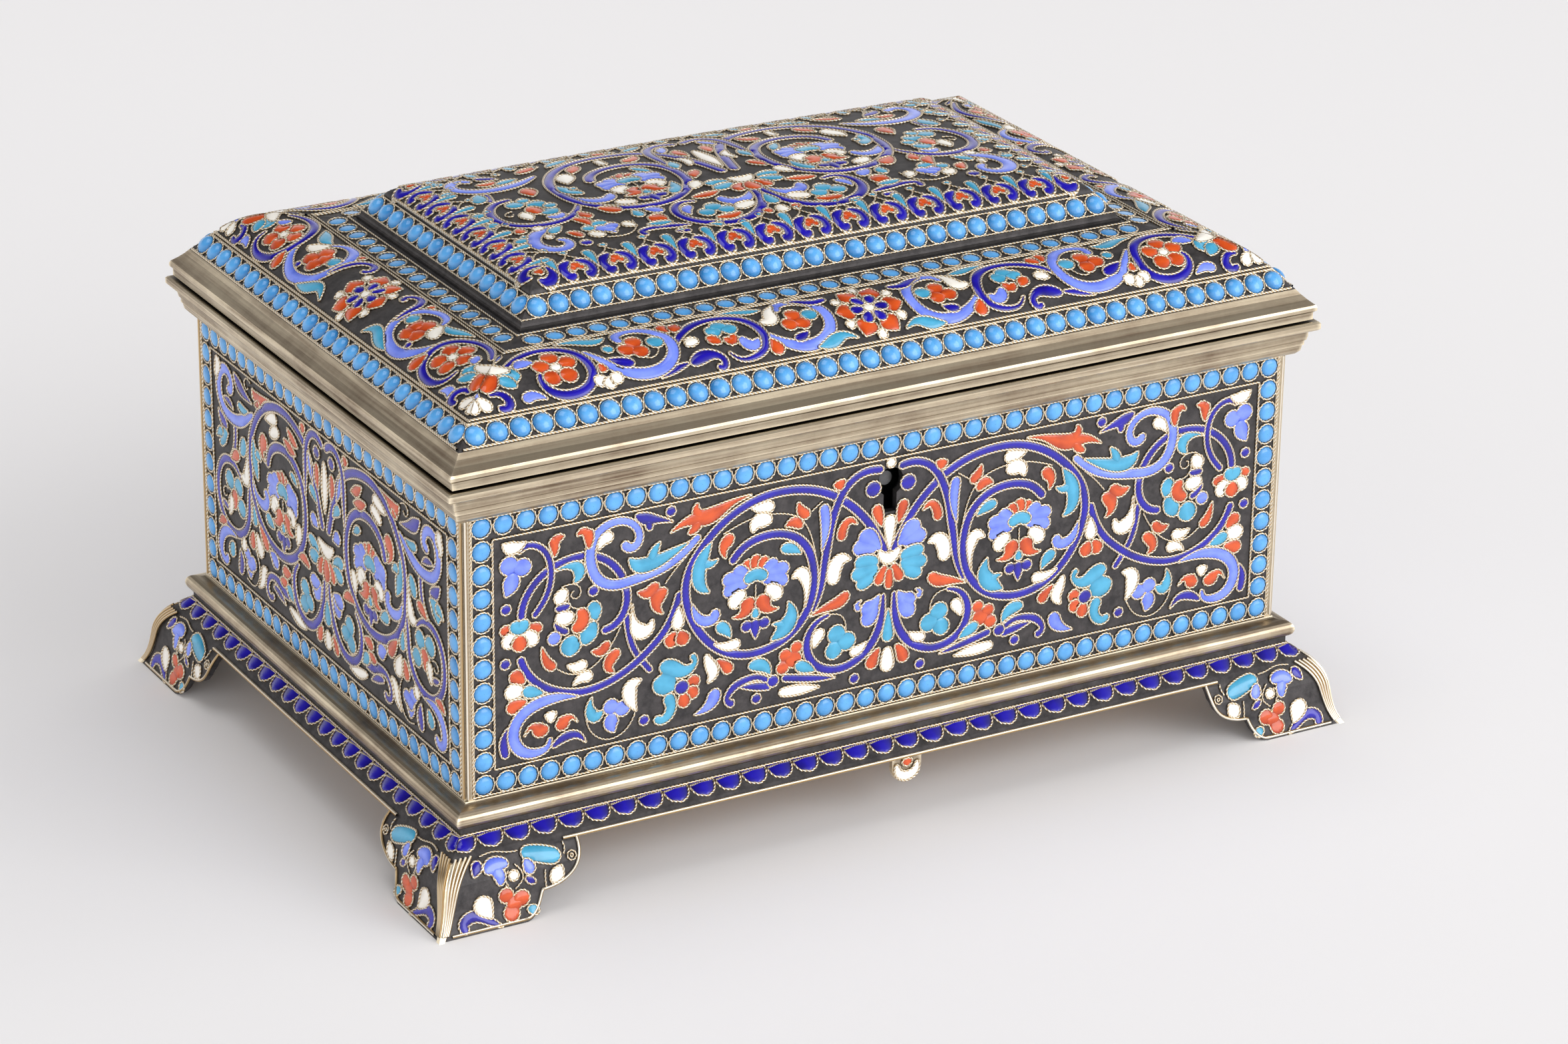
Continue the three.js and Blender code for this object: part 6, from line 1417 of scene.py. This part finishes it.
def draw_foot(art, half):
    """One face of a foot, drawn from the corner of the wall above it, and its twin at the far end."""
    def spot(x, y):
        return x - half, y

    def line(*points):
        return [spot(*point) for point in points]

    art.cell("cobalt", line((-4.4, -16.6), (-4.8, -15.2), (-3.6, -14.3), (-1.8, -14.5),
            (-0.2, -15.6), (1.6, -16.8)), (0.6, 0.75, 0.85, 0.8, 0.6, 0.15))
    art.cell("cobalt", line((-2.2, -8.1), (-1.3, -6.7), (-0.8, -5.8)), (0.15, 0.8, 0.5))
    art.joined("periwinkle", (line((-0.2, -7.9), (0.9, -7.2), (2.5, -6.9), (3.9, -7.4)),
            (0.5, 1.05, 0.95, 0.6)), (line((1.5, -7.6), (2.2, -9), (2, -10.3)), (0.9, 0.85, 0.4)))
    art.cell("white", line((-1.5, -11.3), (-1.1, -12.8), (0.2, -15.2)), (0.9, 1.4, 0.12))
    art.cell("turquoise", line((6.4, -6.1), (9, -6.7), (11, -7.4), (12.8, -8)), (1, 1.2, 1.2, 1))
    art.cell("periwinkle", line((6.7, -7.1), (7.3, -8.6), (7.5, -9.6)), (0.4, 0.9, 0.8))
    art.cell("cobalt", line((7.6, -10.1), (6.9, -11)), (1, 0.85))
    art.cell("white", line((10.9, -9.9), (12, -10.7), (12.9, -11.2)), (0.7, 1.35, 0.9))
    art.cell("turquoise", line((7.6, -14.6), (6.8, -16)), (0.85, 0.95))
    art.dot("white", spot(4.5, -9.2), 0.75)
    art.joined("orange", (spot(2.9, -12.1), 1.1), (spot(5.5, -13.1), 1.2), (spot(3.5, -15.1), 1.2),
            (spot(4.2, -13.7), 1.15))
    for hook in (((2.9, -10.5), (3.6, -11), (3, -9.6), (3.7, -8.3)),
            ((4.9, -7.5), (5.8, -8.6), (6, -10), (5.2, -10.9), (4.6, -11.4)),
            ((-0.4, -5.2), (2, -4.9), (4.6, -5.5), (6, -5.6)),
            ((13.7, -5.8), (13.8, -6.7), (13.4, -7.7)), ((9.9, -9.4), (9.8, -11), (9.9, -12.6))):
        art.wire(line(*hook))
    ring = np.linspace(0, 2 * np.pi, CURL_STEPS)
    for size in CURL_RADII:
        x, y = CURL_IN + size * np.cos(ring), size * np.sin(ring) - CURL_DOWN
        circle = np.stack(spot(x, y), axis=1)
        art.wires += [circle, circle * (-1, 1)]


for side in ("front", "back", "left", "right"):
    half = SIDES[side][2]
    art = Drawing(fullness=1.15)
    count = round(2 * (half - SCALE_INSET) / SCALE_PITCH)
    row = np.linspace(SCALE_INSET - half, half - SCALE_INSET, count + 1)
    fall = np.linspace(0, 1, SCALE_ROWS)
    widths = SCALE_WIDTH * np.sqrt(1 - SCALE_ROUND * fall ** SCALE_CURVE)
    for u in (row[0] - SCALE_PITCH, *row, row[-1] + SCALE_PITCH):
        spine = np.stack((u + 0 * fall, -SCALE_TOP - SCALE_FALL * fall), axis=1)
        art.add("cobalt", spine, widths, np.tile((1.0, 0.0), (SCALE_ROWS, 1)), True)
    draw_foot(art, half)
    place = sloping(side, knee, -KNEE_LENGTH)
    fill, wires = Heap(), Heap()
    fire(fill, wires, art, place)
    toe, ear = half + TOE_REACH, half - EAR_REACH
    straight_wire(wires, (-toe, SCALE_WIRE_UP), (toe, SCALE_WIRE_UP), place, radius=SCALE_WIRE)
    straight_wire(wires, (-ear, APRON_EDGE), (ear, APRON_EDGE), place, radius=APRON_WIRE,
            twisted=False)
    for turn in (-1, 1):
        lay_wire(wires, (foot_edge - (half, 0)) * (turn, 1), place, radius=FOOT_WIRE, twisted=False)
        for k in range(REEDS):
            up = np.linspace(REED_FOOT - KNEE_LENGTH, REED_TOP, REED_STEPS)
            climb = ((up - up[0]) / (up[-1] - up[0])) ** FLARE_POWER
            from_mitre = REED_START + REED_GAP * k + climb * (FLARE_START + FLARE_GAP * k)
            reed = np.stack(((half + np.interp(up, knee_run, knee[:, 0]) - from_mitre) * turn, up),
                    axis=1)
            lay_wire(wires, reed, place, radius=REED, lift=REED_LIFT, twisted=False)
    finish_plate(f"apron_{side}", "root", fill, wires)

# The drop: a small silver tongue soldered under the middle of the front apron, with a white
# crescent round an orange leaf on its face.
drop_low, drop_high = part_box("apron_drop")
drop_middle = (drop_low.x + drop_high.x) / 2 / MM
drop_foot = drop_low.z / MM
drop_art = Drawing(drop_middle)
drop_art.cell("white", [(drop_middle - 1.9, drop_foot + 3.4), (drop_middle - 1.6, drop_foot + 1.9),
        (drop_middle, drop_foot + 1.1), (drop_middle + 1.6, drop_foot + 1.9),
        (drop_middle + 1.9, drop_foot + 3.4)], (0.3, 0.7, 0.85, 0.7, 0.3), once=True)
drop_art.cell("orange", [(drop_middle, drop_foot + 2.8), (drop_middle, drop_foot + 4.2)],
        (0.8, 1.1), once=True)


def drop_place(u, v, h):
    """Places a point on the face of the drop."""
    return np.stack(np.broadcast_arrays(u, drop_low.y / MM - h, v + 0 * h), axis=-1)


fill, wires = Heap(), Heap()
fire(fill, wires, drop_art, drop_place)
finish_plate("drop", "root", fill, wires)

# The floor plate: silver sheet, let into the walls, fire-gilt and burnished on its upper face. The
# gilding gives a deep satin yellow.
GILDING, GILDING_DEEP = "#e0b36a", "#b98742"
gilding, tree, shader = new_material("satin_gilding", Metallic=1.0, Roughness=0.3)
where = node(tree, "ShaderNodeTexCoord")
brushed = node(tree, "ShaderNodeTexNoise", {"Vector": where.outputs["Object"], "Scale": 160,
        "Detail": 5})
tone = node(tree, "ShaderNodeMix", {"Factor": brushed.outputs["Fac"], "A": colour(GILDING_DEEP),
        "B": colour(GILDING)}, data_type="RGBA")
burnished = node(tree, "ShaderNodeBump", {"Height": brushed.outputs["Fac"], "Strength": 0.2,
        "Distance": 0.1 * MM})
tree.links.new(tone.outputs["Result"], shader.inputs["Base Color"])
tree.links.new(burnished.outputs[0], shader.inputs["Normal"])
finish_node("base_plate", gilding)

# The lock: plate, cap, bolt, spring and staple filed from steel, riveted together behind the
# front wall. The steel is grey and dark, and within the keyhole it is painted near black as shade.
STEEL, STEEL_DARK = "#8f8f90", "#4c4c4e"
steel, tree, shader = new_material("lock_steel", Metallic=1.0, Roughness=0.35)
where = node(tree, "ShaderNodeTexCoord")
filed = node(tree, "ShaderNodeTexNoise", {"Vector": where.outputs["Object"], "Scale": 700,
        "Detail": 4})
tone = node(tree, "ShaderNodeMix", {"Factor": filed.outputs["Fac"], "A": colour(STEEL_DARK),
        "B": colour(STEEL)}, data_type="RGBA")
# Painted shade: the steel goes near black where it is closed in, as within the keyhole.
open_air = node(tree, "ShaderNodeAmbientOcclusion", {"Distance": KEYHOLE_REACH * MM}, samples=4)
lit = node(tree, "ShaderNodeMapRange", {"Value": open_air.outputs["AO"], "From Min": 0.2,
        "From Max": 0.8})
shaded = node(tree, "ShaderNodeMix", {"Factor": lit.outputs[0], "A": colour(DEEP_SHADE),
        "B": tone.outputs["Result"]}, data_type="RGBA")
marks = node(tree, "ShaderNodeBump", {"Height": filed.outputs["Fac"], "Strength": 0.25,
        "Distance": 0.05 * MM})
tree.links.new(shaded.outputs["Result"], shader.inputs["Base Color"])
tree.links.new(marks.outputs[0], shader.inputs["Normal"])
for name in ("lock_plate", "lock_cap", "lock_drill_pin", "lock_spring", "lock_bolt", "lid_staple",
        "lock_rivet_left_low", "lock_rivet_left_high", "lock_rivet_right_low",
        "lock_rivet_right_high"):
    finish_node(name, steel)

bpy.context.view_layer.update()
